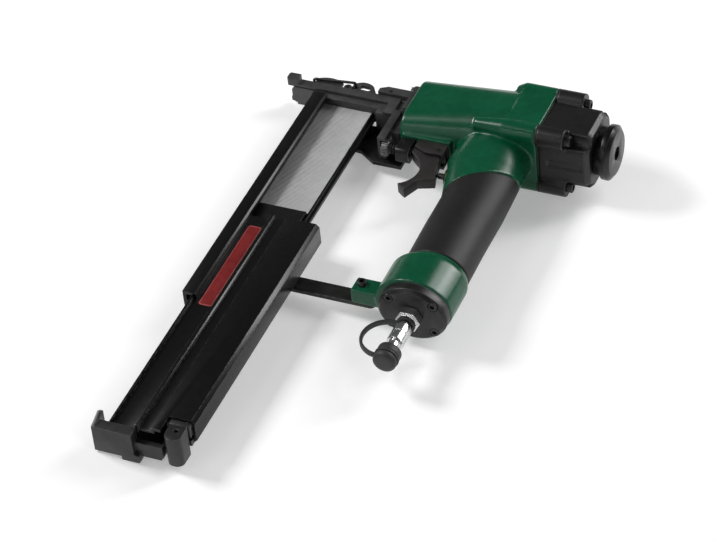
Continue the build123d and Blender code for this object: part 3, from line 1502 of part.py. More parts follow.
with BuildPart() as release_pin:
    round_z(
        -release_lug_z - release_lug_t, release_lug_z + release_lug_t, release_pin_r, release_pin_x,
        release_pin_y,
    )
save(release_pin, "release_pin")

# Carriers under the magazine: front shield plate, rear bracket bar and their screws
carrier_x = rail_left_x + carrier_in
carrier_top_y = nose_back_y - carrier_in
with BuildPart() as front_carrier:
    with BuildSketch(Plane.XY.offset(carrier_low_z)):
        with BuildLine():
            Polyline(
                (carrier_x, carrier_top_y), (pad_x0 - pad_margin, carrier_top_y),
                (pad_x0 - pad_margin, pad_y1), (pad_x1 + pad_margin, pad_y1),
                (pad_x1 + pad_margin, carrier_top_y), (shield_rear_x, carrier_top_y),
                (shield_rear_x, shield_step_y), (shield_toe_x, shield_step_y - shield_slope),
                (shield_toe_x, shield_low_y), (shield_low_x, shield_low_y), shield_front,
                (rail_foot_x + carrier_in, carrier_neck_y), (rail_foot_x + carrier_in, carrier_end_y),
                (carrier_x, carrier_end_y), close=True,
            )
        make_face()
        with Locations(*[(carrier_screw_x, y) for y in carrier_screw_ys]):
            Circle(bracket_screw_r + slide_gap, mode=Mode.SUBTRACT)
        with Locations(((pad_x0 + pad_x1) / 2, (pad_y0 + pad_y1) / 2)):
            Circle(bracket_screw_r + slide_gap, mode=Mode.SUBTRACT)
    extrude(amount=carrier_t)
save(front_carrier, "front_carrier")

with BuildPart() as rear_bracket:
    block(
        carrier_x, bracket_right_x, bracket_y - bracket_w / 2, bracket_y + bracket_w / 2,
        carrier_low_z, rail_foot_z,
    )
    fillet(rear_bracket.edges().filter_by(Axis.Z), bracket_round)
    for x in (carrier_screw_x, lug_screw_x):
        round_z(carrier_low_z, rail_foot_z, bracket_screw_r + slide_gap, x, bracket_y, Mode.SUBTRACT)
save(rear_bracket, "rear_bracket")

carrier_screw = screw(bracket_screw_head_r, bracket_screw_head_h, bracket_screw_r, carrier_t + rail_foot_t)
carrier_screw_points = [(carrier_screw_x, y) for y in carrier_screw_ys]
carrier_screw_points += [(carrier_screw_x, bracket_y), (lug_screw_x, bracket_y)]
carrier_screw_points += [((pad_x0 + pad_x1) / 2, (pad_y0 + pad_y1) / 2)]
with BuildPart() as carrier_screws:
    for x, y in carrier_screw_points:
        add(carrier_screw.moved(Location((x, y, carrier_low_z), (180, 0, 0))))
save(carrier_screws, "carrier_screws")
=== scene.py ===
"""Looks of a pneumatic nail and stapler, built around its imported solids."""
import logging
import math
from contextlib import contextmanager
from dataclasses import dataclass, field
from enum import Enum
from typing import Callable, Iterator, Optional, Sequence

import bmesh
import bpy
import numpy as np
from mathutils import Matrix, Vector


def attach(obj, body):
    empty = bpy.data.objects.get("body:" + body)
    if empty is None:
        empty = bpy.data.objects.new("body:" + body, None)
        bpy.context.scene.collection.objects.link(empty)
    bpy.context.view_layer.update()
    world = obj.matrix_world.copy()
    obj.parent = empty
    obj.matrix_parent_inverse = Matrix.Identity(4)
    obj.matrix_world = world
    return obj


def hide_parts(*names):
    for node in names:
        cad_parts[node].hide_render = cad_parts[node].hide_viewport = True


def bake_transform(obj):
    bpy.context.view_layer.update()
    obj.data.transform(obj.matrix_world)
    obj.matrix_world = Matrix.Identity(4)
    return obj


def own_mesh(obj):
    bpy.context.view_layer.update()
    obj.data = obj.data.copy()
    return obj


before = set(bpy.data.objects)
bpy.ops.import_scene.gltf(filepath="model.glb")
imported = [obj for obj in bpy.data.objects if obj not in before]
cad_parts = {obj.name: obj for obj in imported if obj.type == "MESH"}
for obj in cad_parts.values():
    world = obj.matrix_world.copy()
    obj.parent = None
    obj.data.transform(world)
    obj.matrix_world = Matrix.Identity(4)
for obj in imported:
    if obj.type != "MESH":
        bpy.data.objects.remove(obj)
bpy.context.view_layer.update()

LOG = logging.getLogger("nailer")
MM = 0.001
HEXAGON = 6

# Points this near, in metres, are one point: in a solid's loose triangles, and after a bevel
MERGE = 2e-6
COINCIDENT = 1e-7
FLAT_ANGLE = math.radians(0.5)

# Attribute that marks worn corners, which also carry a painted highlight, and how far a surface turns
# where the marking starts and is full
WEAR_AND_HIGHLIGHT_MARK = "worn_and_highlit_edge"
WEAR_AND_HIGHLIGHT_START = 0.04
WEAR_AND_HIGHLIGHT_FULL = 0.12
# Grey put on those corners: the colour of worn edges, and at the same time a painted highlight line
# along them
WEAR_AND_HIGHLIGHT_COLOUR = (0.25, 0.25, 0.25)
COAT_ROUGHNESS = 0.12

FLOAT = "NodeSocketFloat"
COLOUR = "NodeSocketColor"
VECTOR = "NodeSocketVector"

Piece = bpy.types.Object
Node = bpy.types.Node
Socket = bpy.types.NodeSocket
Tree = bpy.types.NodeTree
Pair = tuple[float, float]
Point = tuple[float, float, float]
Colour = Point


class Body(Enum):
    """The rigid bodies that new pieces ride on."""

    FRAME = "frame"
    MAGAZINE = "magazine"
    PUSHER = "pusher"
    RELEASE = "release"
    TRIGGER = "trigger"
    YOKE = "yoke"
    WHEEL = "wheel"
    DEFLECTOR = "deflector"
    DOOR = "door"
    LATCH = "latch"
    DUST_CAP = "dust_cap"


class Axis(Enum):
    """Directions along which turned pieces point."""

    REAR = (1.0, 0.0, 0.0)
    FRONT = (-1.0, 0.0, 0.0)
    HANDLE_END = (0.0, -1.0, 0.0)
    UNDER = (0.0, 0.0, -1.0)
    TOP = (0.0, 0.0, 1.0)


class Grain(Enum):
    """How a surface is broken up at close range: the grain's size and depth in millimetres."""

    CAST = (1.6, 0.02)
    MOULDED = (0.5, 0.009)
    RUBBER = (0.35, 0.03)
    DRAWN = (0.6, 0.01)
    TURNED = (0.3, 0.002)


# Modelling tools


def mm(*values: float) -> tuple[float, ...]:
    """Millimetres as metres."""
    return tuple(value * MM for value in values)


def activate(piece: Optional[Piece]) -> None:
    """Leave edit mode, deselect everything and make one piece the only selected one.

    Args:
        piece: The piece to select, or None to select nothing.
    """
    active = bpy.context.view_layer.objects.active
    if active and active.mode != "OBJECT":
        bpy.ops.object.mode_set(mode="OBJECT")
    bpy.ops.object.select_all(action="DESELECT")
    if piece:
        piece.select_set(True)
        bpy.context.view_layer.objects.active = piece


@contextmanager
def editing(piece: Piece, kind: str = "FACE") -> Iterator[None]:
    """Hold a piece in edit mode with all of it selected.

    Args:
        piece: The piece to edit.
        kind: What is selected: VERT, EDGE or FACE.
    """
    activate(piece)
    bpy.ops.object.mode_set(mode="EDIT")
    bpy.ops.mesh.select_mode(type=kind)
    bpy.ops.mesh.select_all(action="SELECT")
    yield
    bpy.ops.object.mode_set(mode="OBJECT")


def select_faces(piece: Piece, wanted: Callable[[bmesh.types.BMFace], bool]) -> None:
    """Select in edit mode only the faces that pass a test.

    Args:
        piece: The piece in edit mode.
        wanted: Says whether a face is selected.
    """
    bpy.ops.mesh.select_all(action="DESELECT")
    mesh = bmesh.from_edit_mesh(piece.data)
    for face in mesh.faces:
        face.select_set(wanted(face))
    mesh.select_flush_mode()
    bmesh.update_edit_mesh(piece.data)


def extrude(x: float, y: float, z: float) -> None:
    """Extrude what is selected by a step in millimetres."""
    bpy.ops.mesh.extrude_region_move(TRANSFORM_OT_translate={"value": mm(x, y, z)})


def merge_points(distance: float = MERGE) -> None:
    """Merge points of the piece in edit mode that lie nearer than a distance in metres."""
    bpy.ops.mesh.select_all(action="SELECT")
    bpy.ops.mesh.remove_doubles(threshold=distance)


def face_outwards() -> None:
    """Turn all faces of the piece in edit mode outwards."""
    bpy.ops.mesh.select_all(action="SELECT")
    bpy.ops.mesh.normals_make_consistent(inside=False)


def settle(piece: Piece) -> None:
    """Put a piece's place, turn and scale into its mesh."""
    activate(piece)
    bpy.ops.object.transform_apply(location=True, rotation=True, scale=True)


def apply_modifier(piece: Piece, kind: str, **settings: object) -> None:
    """Add a modifier with its settings and apply it.

    Args:
        piece: The piece to change.
        kind: Blender's name for the modifier.
        settings: The modifier's values.
    """
    activate(piece)
    modifier = piece.modifiers.new(kind.title(), kind)
    for name, value in settings.items():
        setattr(modifier, name, value)
    bpy.ops.object.modifier_apply(modifier=modifier.name)


def cut_out(piece: Piece, cutter: Piece) -> None:
    """Cut one piece with another, and remove the cutter."""
    apply_modifier(piece, "BOOLEAN", operation="DIFFERENCE", object=cutter, solver="EXACT")
    bpy.data.objects.remove(cutter)


def smooth(piece: Piece, angle: float = 35.0) -> None:
    """Shade a piece smooth except over edges sharper than an angle in degrees."""
    activate(piece)
    bpy.ops.object.shade_smooth_by_angle(angle=math.radians(angle))


def round_edges(piece: Piece, width: float, segments: int = 2, angle: float = 30.0) -> None:
    """Bevel the sharp edges of a piece, and mark the new faces as worn places that also get a painted
    highlight.

    Args:
        piece: The piece to bevel.
        width: The bevel's width in millimetres.
        segments: How many faces go round each edge.
        angle: Edges sharper than this many degrees are bevelled.
    """
    piece.data.materials.clear()
    for _ in range(2):
        piece.data.materials.append(None)
    apply_modifier(
        piece, "BEVEL", width=width * MM, segments=segments, limit_method="ANGLE",
        angle_limit=math.radians(angle), use_clamp_overlap=True, miter_outer="MITER_ARC", material=1,
    )
    faces = piece.data.polygons
    cut = [float(face.material_index) for face in faces]
    faces.foreach_set("material_index", [0] * len(faces))
    # The bevel faces are marked for worn edges and for a painted highlight
    piece.data.attributes.new(WEAR_AND_HIGHLIGHT_MARK, "FLOAT", "FACE").data.foreach_set("value", cut)


def mark_corners(piece: Piece) -> None:
    """Mark on each point of a finely meshed piece how sharply its surface turns outwards there.

    Args:
        piece: The piece to mark.
    """
    mesh = piece.data
    points, normals = np.empty((2, len(mesh.vertices), 3))
    mesh.vertices.foreach_get("co", points.ravel())
    mesh.vertices.foreach_get("normal", normals.ravel())
    ends = np.empty((len(mesh.edges), 2), dtype=np.int32)
    mesh.edges.foreach_get("vertices", ends.ravel())
    run = points[ends[:, 0]] - points[ends[:, 1]]
    run /= np.linalg.norm(run, axis=1, keepdims=True)
    turn, share = np.zeros((2, len(points)))
    for end, sign in ((0, 1.0), (1, -1.0)):
        np.add.at(turn, ends[:, end], sign * np.einsum("ij,ij->i", run, normals[ends[:, end]]))
        np.add.at(share, ends[:, end], 1.0)
    # Convex corners are marked for worn edges and for a painted highlight
    worn_and_highlit = np.clip((turn / share - WEAR_AND_HIGHLIGHT_START) / (WEAR_AND_HIGHLIGHT_FULL - WEAR_AND_HIGHLIGHT_START), 0, 1)
    mesh.attributes.new(WEAR_AND_HIGHLIGHT_MARK, "FLOAT", "POINT").data.foreach_set("value", worn_and_highlit.astype(np.float32))


def place(piece: Piece, origin: Point, axis: Axis) -> None:
    """Turn a piece that was modelled along +Z to point along an axis, and set it in its place.

    Args:
        piece: The piece, modelled at the origin.
        origin: Where its origin goes, in millimetres.
        axis: Which way it points.
    """
    turn = Vector((0, 0, 1)).rotation_difference(Vector(axis.value))
    piece.rotation_euler = turn.to_euler()
    piece.location = mm(*origin)
    settle(piece)


def join(pieces: Sequence[Piece], name: str) -> Piece:
    """Join pieces into the first one.

    Args:
        pieces: The pieces to join.
        name: The joined piece's name.

    Returns:
        The joined piece.
    """
    activate(pieces[0])
    for piece in pieces[1:]:
        piece.select_set(True)
    bpy.ops.object.join()
    pieces[0].name = name
    return pieces[0]


def block(name: str, centre: Point, size: Point) -> Piece:
    """Box that a piece is started from.

    Args:
        name: The piece's name.
        centre: Its centre in millimetres.
        size: Its length along each axis in millimetres.

    Returns:
        The new piece.
    """
    activate(None)
    bpy.ops.mesh.primitive_cube_add(size=1)
    piece = bpy.context.object
    piece.name = name
    piece.scale = mm(*size)
    piece.location = mm(*centre)
    settle(piece)
    return piece


def lathe(name: str, rings: Sequence[Pair], sides: int) -> Piece:
    """Turned piece along +Z: each ring is extruded from the last one and scaled to its radius.

    Args:
        name: The piece's name.
        rings: Height and radius of each ring, in millimetres, from the bottom.
        sides: How many sides go round.

    Returns:
        The new piece.
    """
    activate(None)
    base, radius = rings[0]
    bpy.ops.mesh.primitive_circle_add(
        vertices=sides, radius=radius * MM, fill_type="NGON", location=(0, 0, base * MM)
    )
    piece = bpy.context.object
    piece.name = name
    settle(piece)
    with editing(piece):
        for (low, inner), (high, outer) in zip(rings, rings[1:]):
            extrude(0, 0, high - low)
            ratio = outer / inner
            bpy.ops.transform.resize(value=(ratio, ratio, 1), center_override=(0, 0, high * MM))
        face_outwards()
    return piece


def copy_node(node: str) -> Piece:
    """Copy a solid's mesh into a new piece and merge its loose triangles.

    Args:
        node: The solid's name.

    Returns:
        The new piece.
    """
    piece = bpy.data.objects.new(node + "_dressed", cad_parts[node].data.copy())
    bpy.context.scene.collection.objects.link(piece)
    with editing(piece):
        merge_points()
        bpy.ops.mesh.customdata_custom_splitnormals_clear()
    return piece


def softened(node: str, width: float, segments: int = 2) -> Piece:
    """Copy of a hard-edged solid with its edges bevelled.

    Args:
        node: The solid's name.
        width: The bevel's width in millimetres.
        segments: How many faces go round each edge.

    Returns:
        The new piece.
    """
    piece = copy_node(node)
    with editing(piece):
        bpy.ops.mesh.dissolve_limited(angle_limit=FLAT_ANGLE)
    round_edges(piece, width, segments)
    smooth(piece)
    return piece


def recast(node: str, voxel: float, rounds: int) -> Piece:
    """Copy of a cast or moulded solid with every inner and outer corner run round.

    Args:
        node: The solid's name.
        voxel: Size of the remesh's cells in millimetres.
        rounds: How many times the surface is relaxed.

    Returns:
        The new piece.
    """
    piece = copy_node(node)
    apply_modifier(piece, "REMESH", mode="VOXEL", voxel_size=voxel * MM)
    apply_modifier(piece, "SMOOTH", factor=0.5, iterations=rounds)
    apply_modifier(piece, "DECIMATE", ratio=0.5)
    mark_corners(piece)
    smooth(piece, 60)
    return piece


def circle_centre(points: Sequence[Vector]) -> Vector:
    """Centre of the circle through three points of a plane.

    Args:
        points: The three points.

    Returns:
        The centre.
    """
    a, b, c = points
    d = 2 * (a.x * (b.y - c.y) + b.x * (c.y - a.y) + c.x * (a.y - b.y))
    aa, bb, cc = (p.length_squared for p in points)
    x = (aa * (b.y - c.y) + bb * (c.y - a.y) + cc * (a.y - b.y)) / d
    y = (aa * (c.x - b.x) + bb * (a.x - c.x) + cc * (b.x - a.x)) / d
    return Vector((x, y))


# Finishes


class NodeKit:
    """Short ways to add nodes to a shader tree."""

    def __init__(self, tree: Tree) -> None:
        """Work on a tree."""
        self.tree = tree

    def put(self, node: Node, inputs: dict) -> None:
        """Set or link inputs of a node.

        Args:
            node: The node.
            inputs: A value or another node's socket for each input, by name or number.
        """
        for name, value in inputs.items():
            if isinstance(value, Socket):
                self.tree.links.new(value, node.inputs[name])
            else:
                node.inputs[name].default_value = value

    def add(self, kind: str, inputs: Optional[dict] = None, **properties: object) -> Node:
        """Add a node.

        Args:
            kind: Blender's name for the node.
            inputs: Its inputs, as in put.
            properties: Its properties, such as its operation.

        Returns:
            The node.
        """
        node = self.tree.nodes.new(kind)
        for name, value in properties.items():
            setattr(node, name, value)
        self.put(node, inputs or {})
        return node

    def noise(self, where: Socket, size: float, detail: float) -> Socket:
        """Noise at some coordinates, with features of a size in millimetres."""
        inputs = {"Vector": where, "Scale": 1 / (size * MM), "Detail": detail}
        return self.add("ShaderNodeTexNoise", inputs).outputs["Fac"]

    def math(self, operation: str, first: object, second: object) -> Socket:
        """Combine two values, each a socket or a number."""
        return self.add("ShaderNodeMath", {0: first, 1: second}, operation=operation).outputs[0]

    def remap(self, value: Socket, limits: dict[str, float], kind: str = "LINEAR") -> Socket:
        """Map a value to another range, by those of its limits that aren't 0 or 1."""
        inputs = {"Value": value, **limits}
        return self.add("ShaderNodeMapRange", inputs, interpolation_type=kind).outputs[0]

    def mix(self, factor: Socket, first: object, second: object) -> Socket:
        """Mix two colours, each a socket or a value."""
        inputs = {"Factor": factor, "A": first, "B": second}
        return self.add("ShaderNodeMix", inputs, data_type="RGBA").outputs["Result"]


def shader_group(name: str, inputs: dict[str, str], outputs: dict[str, str]) -> tuple:
    """Start a shader node group.

    Args:
        name: The group's name.
        inputs: Socket type of each input, by name.
        outputs: Socket type of each output, by name.

    Returns:
        The group, its node kit, its inputs and its output node.
    """
    group = bpy.data.node_groups.new(name, "ShaderNodeTree")
    for sockets, side in ((inputs, "INPUT"), (outputs, "OUTPUT")):
        for socket, kind in sockets.items():
            group.interface.new_socket(socket, in_out=side, socket_type=kind)
    kit = NodeKit(group)
    return group, kit, kit.add("NodeGroupInput").outputs, kit.add("NodeGroupOutput")


def drift_group() -> Tree:
    """Slow change of colour and roughness over a surface, with a fine grain.

    Returns:
        The group.
    """
    group, kit, given, out = shader_group(
        "surface_drift",
        {"Where": VECTOR, "Colour": COLOUR, "Other Colour": COLOUR, "Roughness": FLOAT,
         "Spread": FLOAT, "Grain Scale": FLOAT},
        {"Colour": COLOUR, "Roughness": FLOAT, "Height": FLOAT},
    )
    where = given["Where"]
    slow = kit.noise(where, size=24.0, detail=3.0)
    blotch = kit.noise(where, size=5.0, detail=4.0)
    mean = kit.math("MULTIPLY", kit.math("ADD", slow, blotch), 0.5)
    contrast = kit.remap(mean, {"From Min": 0.38, "From Max": 0.62})
    swing = kit.math("MULTIPLY", kit.math("SUBTRACT", blotch, 0.5), given["Spread"])
    grain = {"Vector": where, "Scale": given["Grain Scale"], "Detail": 2.0}
    kit.put(out, {
        "Colour": kit.mix(contrast, given["Colour"], given["Other Colour"]),
        "Roughness": kit.math("ADD", given["Roughness"], swing),
        "Height": kit.add("ShaderNodeTexNoise", grain).outputs["Fac"],
    })
    return group


def wear_and_highlight_group() -> Tree:
    """Worn corners with a painted highlight along them: the marks that a piece carries on its edges,
    broken up by noise.

    Returns:
        The group.
    """
    group, kit, given, out = shader_group(
        "edge_wear_and_highlight", {"Where": VECTOR, "Amount": FLOAT}, {"Mask": FLOAT}
    )
    corner = kit.add("ShaderNodeAttribute", attribute_name=WEAR_AND_HIGHLIGHT_MARK).outputs["Fac"]
    patch = kit.noise(given["Where"], size=3.0, detail=5.0)
    worn_and_highlit = kit.math("MULTIPLY", corner, kit.remap(patch, {"From Min": 0.42, "From Max": 0.6}))
    # The mask paints both worn edges and a highlight line along them
    kit.put(out, {"Mask": kit.math("MULTIPLY", worn_and_highlit, given["Amount"])})
    return group


def lines_group() -> Tree:
    """Fine lines that drawing or grinding leaves along a direction.

    Returns:
        The group.
    """
    group, kit, given, out = shader_group(
        "drawn_lines", {"Where": VECTOR, "Stretch": VECTOR}, {"Height": FLOAT}
    )
    mapping = kit.add("ShaderNodeMapping", {"Vector": given["Where"], "Scale": given["Stretch"]})
    kit.put(out, {"Height": kit.noise(mapping.outputs[0], size=1.0, detail=3.0)})
    return group


DRIFT = drift_group()
WEAR_AND_HIGHLIGHT = wear_and_highlight_group()
LINES = lines_group()


@dataclass(frozen=True)
class Finish:
    """A surface finish, made into a material the first time it is used.

    Attributes:
        name: The material's name.
        slot: The record's material slot; not used.
        colour: Base colour.
        other: The colour that it drifts to.
        roughness: Mean roughness.
        spread: How much the roughness changes.
        grain: Kind of fine surface.
        metallic: 1 for bare metal.
        coat: Weight of a clear coat.
        specular: Specular level.
        wear_and_highlight: How much bare metal, and painted highlight with it, shows at corners.
        stretch: Scale of drawn lines along each axis.
    """

    name: str
    slot: str
    colour: Colour
    other: Colour
    roughness: float
    spread: float
    grain: Grain
    metallic: float = 0.0
    coat: float = 0.0
    specular: float = 0.5
    wear_and_highlight: float = 0.0
    stretch: Point = (40.0, 1.0, 40.0)

    def material(self) -> bpy.types.Material:
        """Give the finish's material.

        Returns:
            The material.
        """
        title = self.name + "_finish"
        made = bpy.data.materials.get(title)
        if made:
            return made
        made = bpy.data.materials.new(title)
        made.use_nodes = True
        kit = NodeKit(made.node_tree)
        grain_size, grain_depth = self.grain.value
        where = kit.add("ShaderNodeTexCoord").outputs["Object"]
        drift = kit.add("ShaderNodeGroup", {
            "Where": where, "Colour": (*self.colour, 1), "Other Colour": (*self.other, 1),
            "Roughness": self.roughness, "Spread": self.spread, "Grain Scale": 1 / (grain_size * MM),
        }, node_tree=DRIFT).outputs
        colour, height = drift["Colour"], drift["Height"]
        if self.wear_and_highlight:
            amount = {"Where": where, "Amount": self.wear_and_highlight}
            wear_and_highlight = kit.add("ShaderNodeGroup", amount, node_tree=WEAR_AND_HIGHLIGHT)
            # Corner grey: worn bare metal, and a painted highlight along the edges
            colour = kit.mix(wear_and_highlight.outputs["Mask"], colour, (*WEAR_AND_HIGHLIGHT_COLOUR, 1))
        if self.grain in (Grain.DRAWN, Grain.TURNED):
            stretch = {"Where": where, "Stretch": self.stretch}
            lines = kit.add("ShaderNodeGroup", stretch, node_tree=LINES)
            height = kit.math("ADD", height, lines.outputs["Height"])
        bump = kit.add("ShaderNodeBump", {"Distance": grain_depth * MM, "Height": height})
        kit.put(made.node_tree.nodes["Principled BSDF"], {
            "Base Color": colour, "Roughness": drift["Roughness"], "Normal": bump.outputs["Normal"],
            "Metallic": self.metallic, "Coat Weight": self.coat, "Coat Roughness": COAT_ROUGHNESS,
            "Specular IOR Level": self.specular,
        })
        return made


GREEN_ENAMEL = Finish(
    "green_enamel", "green_casting", (0.0006, 0.062, 0.026), (0.002, 0.078, 0.034), 0.25, 0.08,
    Grain.CAST, specular=0.35, wear_and_highlight=0.05,
)
BLACK_ENAMEL = Finish(
    "black_enamel", "black_casting", (0.006, 0.006, 0.006), (0.01, 0.009, 0.009), 0.38, 0.1,
    Grain.CAST, specular=0.4, wear_and_highlight=0.15,
)
# Its corner grey is set high so that the magazine's edges show painted highlight lines
BLACK_PLASTIC = Finish(
    "black_plastic", "black_plastic", (0.003, 0.003, 0.003), (0.004, 0.004, 0.004), 0.28, 0.05,
    Grain.MOULDED, specular=0.3, wear_and_highlight=0.26,
)
TRIGGER_PLASTIC = Finish(
    "trigger_plastic", "black_plastic", (0.012, 0.0095, 0.0095), (0.017, 0.0135, 0.0135), 0.5, 0.1,
    Grain.MOULDED, wear_and_highlight=0.15,
)
GRIP_RUBBER = Finish(
    "grip_rubber", "grip_rubber", (0.007, 0.006, 0.006), (0.011, 0.01, 0.01), 0.5, 0.08,
    Grain.RUBBER, specular=0.33,
)
SOFT_RUBBER = Finish(
    "soft_rubber", "soft_rubber", (0.016, 0.016, 0.016), (0.024, 0.024, 0.024), 0.55, 0.12,
    Grain.RUBBER,
)
DARK_STEEL = Finish(
    "dark_steel", "dark_steel", (0.016, 0.016, 0.017), (0.024, 0.024, 0.025), 0.4, 0.12,
    Grain.DRAWN, metallic=0.75, wear_and_highlight=0.45, stretch=(1.0, 40.0, 40.0),
)
NOSE_STEEL = Finish(
    "nose_steel", "dark_steel", (0.05, 0.049, 0.05), (0.075, 0.074, 0.075), 0.45, 0.14,
    Grain.DRAWN, metallic=0.5, wear_and_highlight=0.3, stretch=(1.0, 40.0, 40.0),
)
WHEEL_METAL = Finish(
    "wheel_metal", "screw_steel", (0.14, 0.14, 0.145), (0.18, 0.18, 0.18), 0.4, 0.12,
    Grain.DRAWN, metallic=0.6, wear_and_highlight=0.3,
)
GREY_METAL = Finish(
    "grey_metal", "grey_metal", (0.022, 0.022, 0.023), (0.033, 0.033, 0.034), 0.38, 0.1,
    Grain.CAST, metallic=0.2, wear_and_highlight=0.4,
)
RELEASE_METAL = Finish(
    "release_metal", "grey_metal", (0.012, 0.012, 0.0125), (0.019, 0.019, 0.0195), 0.38, 0.1,
    Grain.CAST, metallic=0.2, wear_and_highlight=0.4,
)
BRIGHT_STEEL = Finish(
    "bright_steel", "bright_steel", (0.62, 0.62, 0.62), (0.72, 0.72, 0.73), 0.2, 0.12,
    Grain.DRAWN, metallic=1.0,
)
SCREW_STEEL = Finish(
    "screw_steel", "screw_steel", (0.03, 0.03, 0.031), (0.05, 0.05, 0.05), 0.4, 0.14,
    Grain.DRAWN, metallic=0.8, wear_and_highlight=0.4,
)
PLUG_STEEL = Finish(
    "plug_steel", "bright_steel", (0.62, 0.62, 0.62), (0.7, 0.7, 0.71), 0.24, 0.08,
    Grain.TURNED, metallic=1.0, stretch=(1.0, 30.0, 1.0),
)
INNER_ALUMINIUM = Finish(
    "inner_aluminium", "inner_aluminium", (0.55, 0.55, 0.57), (0.62, 0.62, 0.64), 0.35, 0.1,
    Grain.DRAWN, metallic=1.0, stretch=(40.0, 1.0, 1.0),
)
VALVE_BRASS = Finish(
    "valve_brass", "valve_brass", (0.09, 0.07, 0.045), (0.07, 0.055, 0.035), 0.32, 0.1,
    Grain.DRAWN, metallic=1.0, stretch=(40.0, 1.0, 1.0),
)
STRIP_STEEL = Finish(
    "strip_steel", "strip_steel", (0.37, 0.37, 0.37), (0.42, 0.42, 0.425), 0.6, 0.12,
    Grain.DRAWN, specular=0.3, stretch=(1.0, 40.0, 40.0),
)
RED_FILM = Finish(
    "red_film", "red_label", (0.15, 0.007, 0.008), (0.2, 0.014, 0.014), 0.35, 0.1,
    Grain.MOULDED, coat=0.3,
)
RED_BORDER = Finish(
    "red_border", "red_label", (0.3, 0.05, 0.05), (0.36, 0.07, 0.07), 0.4, 0.1,
    Grain.MOULDED, coat=0.2,
)


# Sub-assemblies, with sizes in millimetres


class Assembly:
    """Base of the sub-assemblies: gives pieces their material, body and solids."""

    @staticmethod
    def paint(piece: Piece, finish: Finish) -> None:
        """Give a piece or a solid its only material, and report it.

        Args:
            piece: The piece or solid.
            finish: Its finish.
        """
        piece.data.materials.clear()
        piece.data.materials.append(finish.material())
        LOG.info("%s: %d faces in %s", piece.name, len(piece.data.polygons), finish.name)

    def dress(self, piece: Piece, finish: Finish, body: Body, *nodes: str) -> None:
        """Finish a new piece.

        Args:
            piece: The piece, in its place.
            finish: Its finish.
            body: The body that it rides on.
            nodes: Solids that it stands for.
        """
        self.paint(piece, finish)
        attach(piece, body.value)
        if nodes:
            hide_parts(*nodes)

    def repaint(self, finish: Finish, *nodes: str) -> None:
        """Give solids that keep their shape a better material."""
        for node in nodes:
            self.paint(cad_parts[node], finish)


@dataclass(frozen=True)
class Screw:
    """A socket head screw.

    Attributes:
        head_r: Radius of the head.
        head_h: Height of the head.
        shank_r: Radius of the shank.
        shank_l: Length of the shank.
        socket_r: Corner radius of the hexagon socket.
        edge: Share of the head's height that its rounded edge takes.
        tip_l: Length of the shank's tip.
        tip: Radius of the tip's end, as a share of the shank's.
    """

    head_r: float
    head_h: float
    shank_r: float
    shank_l: float
    socket_r: float
    edge: float = 0.18
    tip_l: float = 0.5
    tip: float = 0.8

    def model(self) -> Piece:
        """Model the screw with its seat at the origin and its head along +Z.

        Returns:
            The screw.
        """
        r, h, edge = self.head_r, self.head_h, self.edge * self.head_h
        piece = lathe(
            "screw",
            [(-self.shank_l, self.shank_r * self.tip), (-self.shank_l + self.tip_l, self.shank_r),
             (0, self.shank_r), (0.001, r), (h - edge, r), (h - edge * 0.3, r - edge * 0.4),
             (h, r - edge)],
            sides=32,
        )
        activate(None)
        bpy.ops.mesh.primitive_cylinder_add(
            vertices=HEXAGON, radius=self.socket_r * MM, depth=h * 1.2 * MM, location=(0, 0, h * MM)
        )
        cut_out(piece, bpy.context.object)
        smooth(piece, 30)
        return piece


@dataclass
class ScrewGroup(Assembly):
    """Equal screws that share one solid.

    Attributes:
        node: The solid that they stand for.
        screw: The screw.
        axis: Which way the heads point.
        seats: Where the heads sit.
    """

    node: str
    screw: Screw
    axis: Axis
    seats: Sequence[Point]

    def build(self) -> None:
        """Model one screw, copy it to each seat and dress the group."""
        pieces = [self.screw.model()]
        for _ in self.seats[1:]:
            activate(pieces[0])
            bpy.ops.object.duplicate()
            pieces.append(bpy.context.object)
        for piece, seat in zip(pieces, self.seats):
            place(piece, seat, self.axis)
        self.dress(join(pieces, self.node + "_dressed"), SCREW_STEEL, Body.FRAME, self.node)


@dataclass
class InnerSpring(Assembly):
    """A coil spring inside the tool, which shortens along the drive axis as a joint moves.

    Attributes:
        node: The solid that it stands for.
        joint: The joint that presses it; not used.
        fixed_end: The end that stays in place; not used.
        keep: Share of its length that is left at the joint's limit; not used.
    """

    node: str
    joint: str
    fixed_end: Point
    keep: float

    def build(self) -> None:
        """Copy the coil, dress it and give it its own mesh."""
        coil = copy_node(self.node)
        smooth(coil, 50)
        self.dress(coil, BRIGHT_STEEL, Body.FRAME, self.node)
        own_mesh(coil)


@dataclass
class Casting(Assembly):
    """Barrel, handle root, collar and lug in one casting, rubber grip, rear cap and deflector.

    Attributes:
        lug_seat: Where the head of the lug's screw sits.
        lug_screw: The lug's screw.
    """

    lug_seat: Point = (126.8, -178.5, 2.0)
    lug_screw: Screw = Screw(3.2, 3.2, 1.9, 1.5, 1.7)

    def build(self) -> None:
        """Model and dress the cast and moulded body pieces."""
        for node, voxel, rounds, finish in (
            ("main_housing", 0.8, 8, GREEN_ENAMEL), ("grip_sleeve", 0.7, 6, GRIP_RUBBER),
            ("cylinder_cap", 0.6, 5, BLACK_ENAMEL),
        ):
            self.dress(recast(node, voxel, rounds), finish, Body.FRAME, node)
        deflector = softened("exhaust_deflector", width=0.6)
        self.dress(deflector, BLACK_PLASTIC, Body.DEFLECTOR, "exhaust_deflector")
        screw = self.lug_screw.model()
        place(screw, self.lug_seat, Axis.TOP)
        screw.name = "lug_screw_dressed"
        self.dress(screw, SCREW_STEEL, Body.FRAME)
        self.repaint(SOFT_RUBBER, "cap_gasket", "end_gasket", "bumper", "cylinder_seals")
        self.repaint(INNER_ALUMINIUM, "cylinder_sleeve", "piston", "head_valve")
        self.repaint(BRIGHT_STEEL, "piston_ring", "driver_blade")


